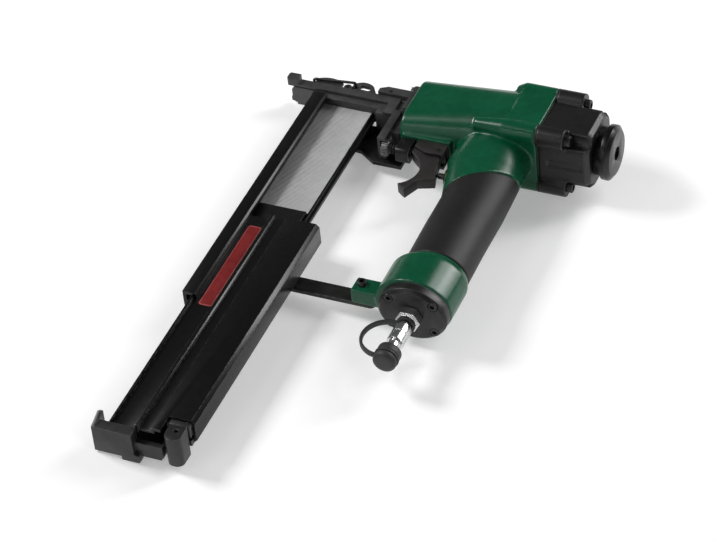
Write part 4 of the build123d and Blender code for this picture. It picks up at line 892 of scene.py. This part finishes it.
@dataclass
class HandleEnd(Assembly):
    """Handle end cap, air plug, dust cap and strap.

    Attributes:
        x: Where the handle's axis is.
        seat_y: Where the plug's hexagon sits on the end cap.
        flats: Size across the hexagon's flats.
        hex_t: Thickness of the hexagon.
        hex_edge: Chamfer of the hexagon at its seat.
        hex_chamfer: Length and depth of its other chamfer.
        sides: Sides round the turned pieces.
        cap_start: Where the dust cap starts, from the seat.
        cap_length: Length of the dust cap.
        cap_r: Radius of the dust cap.
        groove: Middle of the cap's groove, from the cap's start.
        strap_w: Width of the strap.
        strap_t: Thickness of the strap.
        bulge: The strap's point that is furthest out.
        roots: How far the strap goes into its rings on the plug and on the cap.
        plug_ring: Outer and inner radius of the ring on the plug.
        ring_gap: Distance from the hexagon to that ring's middle.
        cap_ring: Rise of the ring on the cap, and its depth in the groove.
        ring_t: Thickness of the rings.
        bend: Where the strap starts to follow the cap, and where it follows it fully; not used.
    """

    x: float = 168.5
    seat_y: float = -195.3
    flats: float = 15.0
    hex_t: float = 8.0
    hex_edge: float = 0.5
    hex_chamfer: Pair = (1.7, 1.9)
    sides: int = 48
    cap_start: float = 35.5
    cap_length: float = 13.0
    cap_r: float = 8.2
    groove: float = 6.8
    strap_w: float = 3.6
    strap_t: float = 2.0
    bulge: Pair = (145.0, -221.0)
    roots: Pair = (0.7, 0.4)
    plug_ring: Pair = (6.6, 4.9)
    ring_gap: float = 1.5
    cap_ring: Pair = (0.4, 1.1)
    ring_t: float = 1.8
    bend: Pair = (-209.0, -234.0)

    def build(self) -> None:
        """Model and dress the end of the handle."""
        end_cap = softened("handle_end_cap", width=0.8, segments=3)
        self.dress(end_cap, BLACK_ENAMEL, Body.FRAME, "handle_end_cap")
        self.dress(self.plug(), PLUG_STEEL, Body.FRAME, "air_plug")
        self.dress(self.dust_cap(), SOFT_RUBBER, Body.DUST_CAP, "dust_cap")
        strap = self.strap()
        self.paint(strap, SOFT_RUBBER)
        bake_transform(strap)
        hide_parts("cap_strap")

    def plug(self) -> Piece:
        """Model the air plug: hexagon, neck, sleeve, groove and nipple.

        Returns:
            The plug.
        """
        corner, edge, top = self.flats / math.sqrt(3), self.hex_edge, self.hex_t
        length, depth = self.hex_chamfer
        nut = lathe(
            "plug_nut",
            [(0, corner - edge), (edge, corner), (top - length, corner), (top, corner - depth)],
            HEXAGON,
        )
        stem = lathe(
            "plug_stem",
            [(-11.0, 6.0), (-10.5, 6.3), (top, 6.3), (8.2, 5.4), (8.4, 4.6), (12.8, 4.6), (13.3, 5.0),
             (13.8, 6.0), (20.0, 6.0), (20.3, 5.6), (20.9, 5.6), (21.2, 6.0), (27.5, 6.0), (28.0, 5.6),
             (28.4, 4.3), (32.8, 4.3), (33.4, 5.0), (34.2, 5.3), (39.5, 5.3), (41.2, 4.5), (42.2, 4.0),
             (42.5, 3.6), (42.5, 3.2), (30.0, 3.2)],
            self.sides,
        )
        nut.rotation_euler.z = math.pi / HEXAGON
        settle(nut)
        for piece in (nut, stem):
            smooth(piece, 32)
            place(piece, (self.x, self.seat_y, 0), Axis.HANDLE_END)
        return join([nut, stem], "air_plug_dressed")

    def dust_cap(self) -> Piece:
        """Model the dust cap: a soft cup with a strap groove and a rounded end.

        Returns:
            The cap.
        """
        start, end, r = self.cap_start, self.cap_start + self.cap_length, self.cap_r
        piece = lathe(
            "dust_cap_dressed",
            [(start + 9.9, 5.65), (start + 0.3, 5.65), (start, 6.0), (start, r - 0.7),
             (start + 0.4, r - 0.2), (start + 1.0, r), (start + 5.1, r), (start + 5.5, r - 0.4),
             (start + 5.5, r - 1.2), (start + 8.1, r - 1.2), (start + 8.1, r - 0.4), (start + 8.5, r),
             (end - 2.6, r), (end - 1.3, r - 0.5), (end - 0.5, r - 1.6), (end - 0.1, r - 2.8),
             (end, r - 4.0)],
            self.sides,
        )
        smooth(piece, 40)
        place(piece, (self.x, self.seat_y, 0), Axis.HANDLE_END)
        return piece

    def strap(self) -> Piece:
        """Model the strap as a spun band with a ring at each end.

        Returns:
            The strap.
        """
        plug_y = self.seat_y - self.hex_t - self.ring_gap
        cap_y = self.seat_y - self.cap_start - self.groove
        (outer, inner), (rise, sink), (plug_root, cap_root) = self.plug_ring, self.cap_ring, self.roots
        first, middle = Vector((self.x - outer + plug_root, plug_y)), Vector(self.bulge)
        last = Vector((self.x - self.cap_r + cap_root, cap_y))
        centre = circle_centre((first, middle, last))
        arm, reach = first - centre, middle - centre
        sweep = arm.angle(last - centre)
        way = -1.0 if arm.x * reach.y - arm.y * reach.x > 0 else 1.0
        activate(None)
        bpy.ops.mesh.primitive_plane_add(size=1, location=(0, 0, 0))
        band = bpy.context.object
        band.name = "strap_band"
        band.scale = (self.strap_t * MM, self.strap_w * MM, 1)
        band.rotation_euler = (math.pi / 2, 0, math.atan2(arm.y, arm.x))
        band.location = mm(first.x, first.y, 0)
        settle(band)
        with editing(band):
            bpy.ops.mesh.spin(
                steps=36, angle=sweep * way, center=mm(centre.x, centre.y, 0), axis=(0, 0, 1)
            )
            merge_points()
            face_outwards()
        rings = [
            self.ring("strap_plug_ring", outer, inner, plug_y),
            self.ring("strap_cap_ring", self.cap_r + rise, self.cap_r - sink, cap_y),
        ]
        round_edges(band, width=0.5)
        strap = join([band, *rings], "cap_strap_dressed")
        smooth(strap, 40)
        return strap

    def ring(self, name: str, outer: float, inner: float, y: float) -> Piece:
        """Model a flat rubber ring round the plug's axis.

        Args:
            name: Its name.
            outer: Outer radius.
            inner: Inner radius.
            y: Where its middle is.

        Returns:
            The ring.
        """
        half, bore, rim = self.ring_t / 2, inner + 0.3, outer - 0.4
        piece = lathe(
            name,
            [(-half, bore), (-half, rim), (-half + 0.4, outer), (half - 0.4, outer), (half, rim),
             (half, bore), (half - 0.3, inner), (-half + 0.3, inner), (-half, bore)],
            self.sides,
        )
        with editing(piece):
            select_faces(piece, lambda face: len(face.verts) > 4)
            bpy.ops.mesh.delete(type="FACE")
            merge_points()
            face_outwards()
        place(piece, (self.x, y, 0), Axis.HANDLE_END)
        return piece


@dataclass
class Nose(Assembly):
    """Nose, door with its latch, contact yoke, depth wheel and trigger group.

    Attributes:
        rod_y: Height of the yoke's rod.
        wheel_x: Front of the depth wheel.
        wheel_t: Thickness of the wheel.
        wheel_r: Radius of the wheel.
        wheel_edge: Chamfer of the wheel.
        teeth: Grip teeth round the wheel.
        tooth_in: How far the teeth's roots lie inside the wheel's radius.
        bore_r: Radius of the wheel's bore.
        spring_r: Radius of the yoke's spring.
        wire_r: Radius of its wire.
        spring_turns: Its turns.
        spring_gap: Room at each of its ends.
        spring_keep: Share of its length that is left at the yoke's limit; not used.
        guide_x: Where it rests on the rod guide.
    """

    rod_y: float = -40.0
    wheel_x: float = 84.2
    wheel_t: float = 5.0
    wheel_r: float = 6.2
    wheel_edge: float = 0.5
    teeth: int = 20
    tooth_in: float = 0.8
    bore_r: float = 2.06
    spring_r: float = 3.4
    wire_r: float = 0.5
    spring_turns: int = 3
    spring_gap: float = 0.1
    spring_keep: float = 0.48
    guide_x: float = 96.0

    def build(self) -> None:
        """Model and dress the front of the tool."""
        for node, body, finish in (
            ("nose_housing", Body.FRAME, NOSE_STEEL), ("nose_door", Body.DOOR, NOSE_STEEL),
            ("contact_yoke", Body.YOKE, NOSE_STEEL), ("latch_lever", Body.LATCH, NOSE_STEEL),
            ("rod_guide", Body.FRAME, DARK_STEEL), ("front_carrier", Body.FRAME, DARK_STEEL),
        ):
            self.dress(softened(node, width=0.45), finish, body, node)
        trigger = softened("trigger", width=0.8, segments=3)
        with editing(trigger):
            merge_points(COINCIDENT)
        self.dress(trigger, TRIGGER_PLASTIC, Body.TRIGGER, "trigger")
        bracket = softened("trigger_bracket", width=0.5)
        self.dress(bracket, TRIGGER_PLASTIC, Body.FRAME, "trigger_bracket")
        self.dress(self.wheel(), WHEEL_METAL, Body.WHEEL, "depth_wheel")
        spring = self.spring()
        self.dress(spring, SCREW_STEEL, Body.FRAME, "yoke_spring")
        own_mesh(spring)
        self.repaint(SCREW_STEEL, "latch_bail", "latch_pin", "door_pin", "trigger_pin", "valve_stem")
        self.repaint(VALVE_BRASS, "valve_body")

    def wheel(self) -> Piece:
        """Model the depth wheel with grip teeth raised from every second side.

        Returns:
            The wheel.
        """
        root, edge, thick = self.wheel_r - self.tooth_in, self.wheel_edge, self.wheel_t
        piece = lathe(
            "depth_wheel_dressed",
            [(0, root - edge), (edge, root), (thick - edge, root), (thick, root - edge)],
            2 * self.teeth,
        )
        step = math.tau / self.teeth
        with editing(piece):
            select_faces(
                piece,
                lambda face: abs(face.normal.z) < 0.1
                and math.atan2(face.normal.y, face.normal.x) % step < step / 2,
            )
            bpy.ops.mesh.inset(thickness=0.12 * MM, depth=0.7 * MM, use_individual=True)
        activate(None)
        bpy.ops.mesh.primitive_cylinder_add(vertices=24, radius=self.bore_r * MM, depth=4 * thick * MM)
        cut_out(piece, bpy.context.object)
        smooth(piece, 25)
        place(piece, (self.wheel_x, self.rod_y, 0), Axis.REAR)
        return piece

    def spring(self) -> Piece:
        """Model the yoke's return spring: a wire section screwed round the rod.

        Returns:
            The spring.
        """
        start = self.wheel_x + self.wheel_t + self.wire_r + self.spring_gap
        length = self.guide_x - self.wire_r - self.spring_gap - start
        activate(None)
        bpy.ops.mesh.primitive_circle_add(
            vertices=10, radius=self.wire_r * MM, rotation=(math.pi / 2, 0, 0),
            location=(self.spring_r * MM, 0, 0),
        )
        piece = bpy.context.object
        piece.name = "yoke_spring_dressed"
        settle(piece)
        apply_modifier(
            piece, "SCREW", axis="Z", angle=math.tau, screw_offset=length / self.spring_turns * MM,
            iterations=self.spring_turns, steps=32, render_steps=32,
        )
        with editing(piece, "EDGE"):
            bpy.ops.mesh.select_all(action="DESELECT")
            bpy.ops.mesh.select_non_manifold()
            bpy.ops.mesh.edge_face_add()
            face_outwards()
        smooth(piece, 50)
        place(piece, (start, self.rod_y, 0), Axis.REAR)
        return piece


@dataclass
class NailStrip(Assembly):
    """Collated strip of headed nails.

    Attributes:
        count: Nails in the strip.
        pitch: Distance from nail to nail.
        gap: Room between two nails.
        front_y: Front edge of the first nail.
        point_x: Where the points are.
        length: Length of a nail.
        low_z: Underside of the nails.
        top_z: Top of the nails.
        head_l: Length of the head.
        head_rise: How far the head stands over the wire.
        neck: Length of the slope under the head.
        point: Share of the wire's width and height that is left at the point.
    """

    count: int = 95
    pitch: float = 1.27
    gap: float = 0.006
    front_y: float = -0.9
    point_x: float = 24.8
    length: float = 38.0
    low_z: float = -0.6
    top_z: float = 0.55
    head_l: float = 1.0
    head_rise: float = 0.17
    neck: float = 0.1
    point: Pair = (0.55, 0.7)

    def build(self) -> None:
        """Model one nail, repeat it along the strip and dress it."""
        shank, high = self.length - self.head_l, self.top_z - self.low_z
        y, z = self.front_y - self.pitch / 2, (self.low_z + self.top_z) / 2
        centre, size = (self.point_x + shank / 2, y, z), (shank, self.pitch - self.gap, high)
        piece = block("nail_strip_dressed", centre, size)
        with editing(piece):
            select_faces(piece, lambda face: face.normal.x > 0.9)
            extrude(self.neck, 0, 0)
            rise = 1 + 2 * self.head_rise / high
            bpy.ops.transform.resize(value=(1, 1, rise), center_override=mm(0, 0, z))
            extrude(self.head_l - self.neck, 0, 0)
            select_faces(piece, lambda face: face.normal.x < -0.9)
            bpy.ops.transform.resize(value=(1, *self.point), center_override=mm(0, y, z))
        round_edges(piece, width=0.018, segments=1, angle=50)
        apply_modifier(
            piece, "ARRAY", count=self.count, use_relative_offset=False, use_constant_offset=True,
            constant_offset_displace=mm(0, -self.pitch, 0),
        )
        smooth(piece, 40)
        self.dress(piece, STRIP_STEEL, Body.FRAME, "nail_strip")


@dataclass
class Magazine(Assembly):
    """Rail, sliding cover, label, pusher, end plate, release and rear bracket.

    Attributes:
        label_low: Corner of the label nearest the end plate.
        label_high: Opposite corner of the label.
        label_z: Height of the ledge that it lies on.
        label_t: Its thickness.
        label_rim: Width of its border.
        field_rise: How far its field stands over the border.
    """

    label_low: Pair = (32.5, -233.0)
    label_high: Pair = (42.5, -150.0)
    label_z: float = 6.0
    label_t: float = 0.3
    label_rim: float = 0.8
    field_rise: float = 0.1

    def build(self) -> None:
        """Model and dress the magazine."""
        for node, width, segments, finish, body in (
            ("magazine_rail", 0.4, 2, BLACK_PLASTIC, Body.FRAME),
            ("magazine_cover", 0.45, 2, BLACK_PLASTIC, Body.MAGAZINE),
            ("rear_bracket", 0.8, 2, BLACK_ENAMEL, Body.FRAME),
            ("pusher", 0.35, 2, DARK_STEEL, Body.PUSHER),
            ("end_plate", 0.8, 3, GREY_METAL, Body.MAGAZINE),
            ("magazine_release", 0.8, 3, RELEASE_METAL, Body.RELEASE),
        ):
            self.dress(softened(node, width, segments), finish, body, node)
        self.repaint(BRIGHT_STEEL, "pusher_rod", "pusher_spring", "release_pin")
        label = self.label()
        self.dress(label, RED_FILM, Body.MAGAZINE, "label_plate")
        label.data.materials.append(RED_BORDER.material())
        border_z = (self.label_z + self.label_t - self.field_rise / 2) * MM
        for face in label.data.polygons:
            face.material_index = int(face.center.z < border_z)

    def label(self) -> Piece:
        """Model the bare label: a rounded plate with a raised field inside its border.

        Returns:
            The label.
        """
        (x0, y0), (x1, y1) = self.label_low, self.label_high
        thick = self.label_t - self.field_rise
        centre = ((x0 + x1) / 2, (y0 + y1) / 2, self.label_z + thick / 2)
        piece = block("label_plate_dressed", centre, (x1 - x0, y1 - y0, thick))
        with editing(piece, "EDGE"):
            bpy.ops.mesh.select_all(action="DESELECT")
            mesh = bmesh.from_edit_mesh(piece.data)
            for edge in mesh.edges:
                along = edge.verts[1].co - edge.verts[0].co
                edge.select_set(abs(along.z) > 0.9 * along.length)
            bmesh.update_edit_mesh(piece.data)
            bpy.ops.mesh.bevel(offset=2.0 * MM, segments=6)
        with editing(piece):
            select_faces(piece, lambda face: face.normal.z > 0.9)
            bpy.ops.mesh.inset(thickness=self.label_rim * MM, depth=0.0)
            bpy.ops.mesh.inset(thickness=0.15 * MM, depth=self.field_rise * MM)
        smooth(piece, 30)
        return piece


INNER_SPRINGS = (
    InnerSpring("valve_spring", "trigger_pull", (154.4, -58.0, 0.0), 0.3),
    InnerSpring("head_valve_spring", "head_valve_lift", (219.5, 0.0, 0.0), 0.81),
)
SCREW_GROUPS = (
    ScrewGroup(
        "cap_screws", Screw(4.0, 4.0, 2.2, 39.0, 2.3), Axis.REAR,
        [(212.0, s * 20.3, t * 20.3) for s in (-1, 1) for t in (-1, 1)],
    ),
    ScrewGroup("exhaust_screw", Screw(4.6, 2.7, 2.4, 16.0, 2.4), Axis.REAR, [(236.3, 0.0, 0.0)]),
    ScrewGroup(
        "end_cap_screws", Screw(3.2, 2.4, 1.8, 20.0, 1.8), Axis.HANDLE_END,
        [(168.5 + s * 15.5, -192.9, t * 11.0) for s in (-1, 1) for t in (-1, 1)],
    ),
    ScrewGroup(
        "nose_screws", Screw(2.6, 2.4, 1.9, 12.5, 1.4), Axis.FRONT,
        [(87.0, y, s * z) for y, z in ((13.0, 8.4), (-22.0, 3.4)) for s in (1, -1)],
    ),
    ScrewGroup(
        "carrier_screws", Screw(3.4, 2.0, 1.9, 4.8, 1.8), Axis.UNDER,
        [(27.0, -17.0, -12.5), (27.0, -37.0, -12.5), (27.0, -178.5, -12.5), (130.0, -178.5, -12.5),
         (70.4, -9.2, -12.5)],
    ),
)


# Studio


@dataclass
class Softbox:
    """A rectangular studio light.

    Attributes:
        name: Its name.
        towards: Direction from the tool to the light.
        distance: Its distance in metres.
        size: Its width and height in metres.
        power: Its power in watts.
    """

    name: str
    towards: Point
    distance: float
    size: Pair
    power: float

    def build(self, aim: Vector) -> None:
        """Hang the light and turn it to the tool.

        Args:
            aim: The point that it looks at, in metres.
        """
        light = bpy.data.lights.new(self.name, "AREA")
        light.shape = "RECTANGLE"
        light.size, light.size_y = self.size
        light.energy = self.power
        lamp = bpy.data.objects.new(self.name, light)
        bpy.context.scene.collection.objects.link(lamp)
        away = Vector(self.towards).normalized()
        lamp.location = aim + away * self.distance
        lamp.rotation_euler = away.to_track_quat("Z", "Y").to_euler()


@dataclass
class Studio:
    """Pale floor that the tool lies on, soft lights, and the camera.

    Attributes:
        rest_point: A point that the tool rests on, in millimetres.
        rest_normal: Direction square to the floor.
        floor_size: Length of the floor's sides in metres.
        aim: The point that the lights look at, in millimetres.
        camera_at: The camera's place in metres.
        forward: Where the camera looks.
        up: Upwards in the picture.
        lens: Focal length in millimetres.
        lights: The lights.
    """

    rest_point: Point = (168.0, -20.8, -28.0)
    rest_normal: Point = (0.0915, 0.0008, 0.9958)
    floor_size: float = 30.0
    aim: Point = (120.0, -150.0, 0.0)
    camera_at: Point = (0.9154, -1.722, 1.5236)
    forward: Point = (-0.3438, 0.6714, -0.6566)
    up: Point = (-0.1963, 0.6324, 0.7494)
    lens: float = 175.98
    lights: Sequence[Softbox] = field(default_factory=lambda: (
        Softbox("left_softbox", (-0.68, -0.06, 0.73), 1.9, (0.6, 0.45), 25.0),
        Softbox("rear_softbox", (0.48, 0.67, 0.52), 1.6, (0.5, 1.0), 11.0),
        Softbox("edge_strip", (0.64, 0.67, 0.32), 1.6, (0.2, 0.8), 6.0),
        Softbox("front_fill", (-0.3, -0.9, 0.35), 2.2, (1.2, 1.2), 3.5),
        Softbox("side_strip", (0.8, -0.48, 0.35), 1.5, (0.25, 0.9), 3.0),
        Softbox("barrel_strip_high", (-0.34, -0.24, 0.91), 1.7, (0.7, 0.08), 1.2),
        Softbox("barrel_strip_low", (-0.34, -0.72, 0.6), 1.7, (0.7, 0.08), 1.2),
    ))

    def build(self) -> None:
        """Set up the floor, the light and the camera."""
        self.floor()
        self.world()
        for light in self.lights:
            light.build(Vector(mm(*self.aim)))
        self.camera()
        bpy.context.scene.view_settings.view_transform = "Standard"

    def floor(self) -> None:
        """Lay the floor under the tool's resting points, with a glow that grows away from it."""
        activate(None)
        normal = Vector(self.rest_normal).normalized()
        bpy.ops.mesh.primitive_plane_add(
            size=self.floor_size, location=mm(*self.rest_point),
            rotation=Vector((0, 0, 1)).rotation_difference(normal).to_euler(),
        )
        floor = bpy.context.object
        floor.name = "studio_floor"
        paint = bpy.data.materials.new("floor_paint")
        paint.use_nodes = True
        kit = NodeKit(paint.node_tree)
        where = kit.add("ShaderNodeTexCoord").outputs["Object"]
        far = kit.add("ShaderNodeVectorMath", {0: where}, operation="LENGTH").outputs["Value"]
        limits = {"From Min": 0.6, "From Max": 1.8, "To Min": 0.3, "To Max": 0.9}
        kit.put(paint.node_tree.nodes["Principled BSDF"], {
            "Base Color": (0.78, 0.78, 0.78, 1), "Emission Color": (1, 1, 1, 1), "Roughness": 0.9,
            "Specular IOR Level": 0.1, "Emission Strength": kit.remap(far, limits, "SMOOTHSTEP"),
        })
        floor.data.materials.append(paint)

    @staticmethod
    def world() -> None:
        """Light the room softly, and show it pale behind the tool."""
        world = bpy.data.worlds.new("studio")
        bpy.context.scene.world = world
        world.use_nodes = True
        kit = NodeKit(world.node_tree)
        seen = kit.add("ShaderNodeLightPath").outputs["Is Camera Ray"]
        kit.put(world.node_tree.nodes["Background"], {
            "Color": (1, 1, 1, 1), "Strength": kit.remap(seen, {"To Min": 0.1, "To Max": 0.95}),
        })

    def camera(self) -> None:
        """Put the camera at the photograph's viewing angle."""
        lens = bpy.data.cameras.new("photo_camera")
        lens.sensor_width = 36.0
        lens.lens = self.lens
        lens.clip_end = 100.0
        camera = bpy.data.objects.new("photo_camera", lens)
        bpy.context.scene.collection.objects.link(camera)
        back = -Vector(self.forward).normalized()
        up = Vector(self.up).normalized()
        turn = Matrix((up.cross(back), up, back)).transposed().to_4x4()
        camera.matrix_world = Matrix.Translation(Vector(self.camera_at)) @ turn
        bpy.context.scene.camera = camera


def main() -> None:
    """Build every sub-assembly, then the studio."""
    logging.basicConfig(level=logging.INFO, format="%(message)s")
    for assembly in (
        Casting(), HandleEnd(), Nose(), NailStrip(), Magazine(), *INNER_SPRINGS, *SCREW_GROUPS
    ):
        assembly.build()
    Studio().build()


if __name__ == "__main__":
    main()
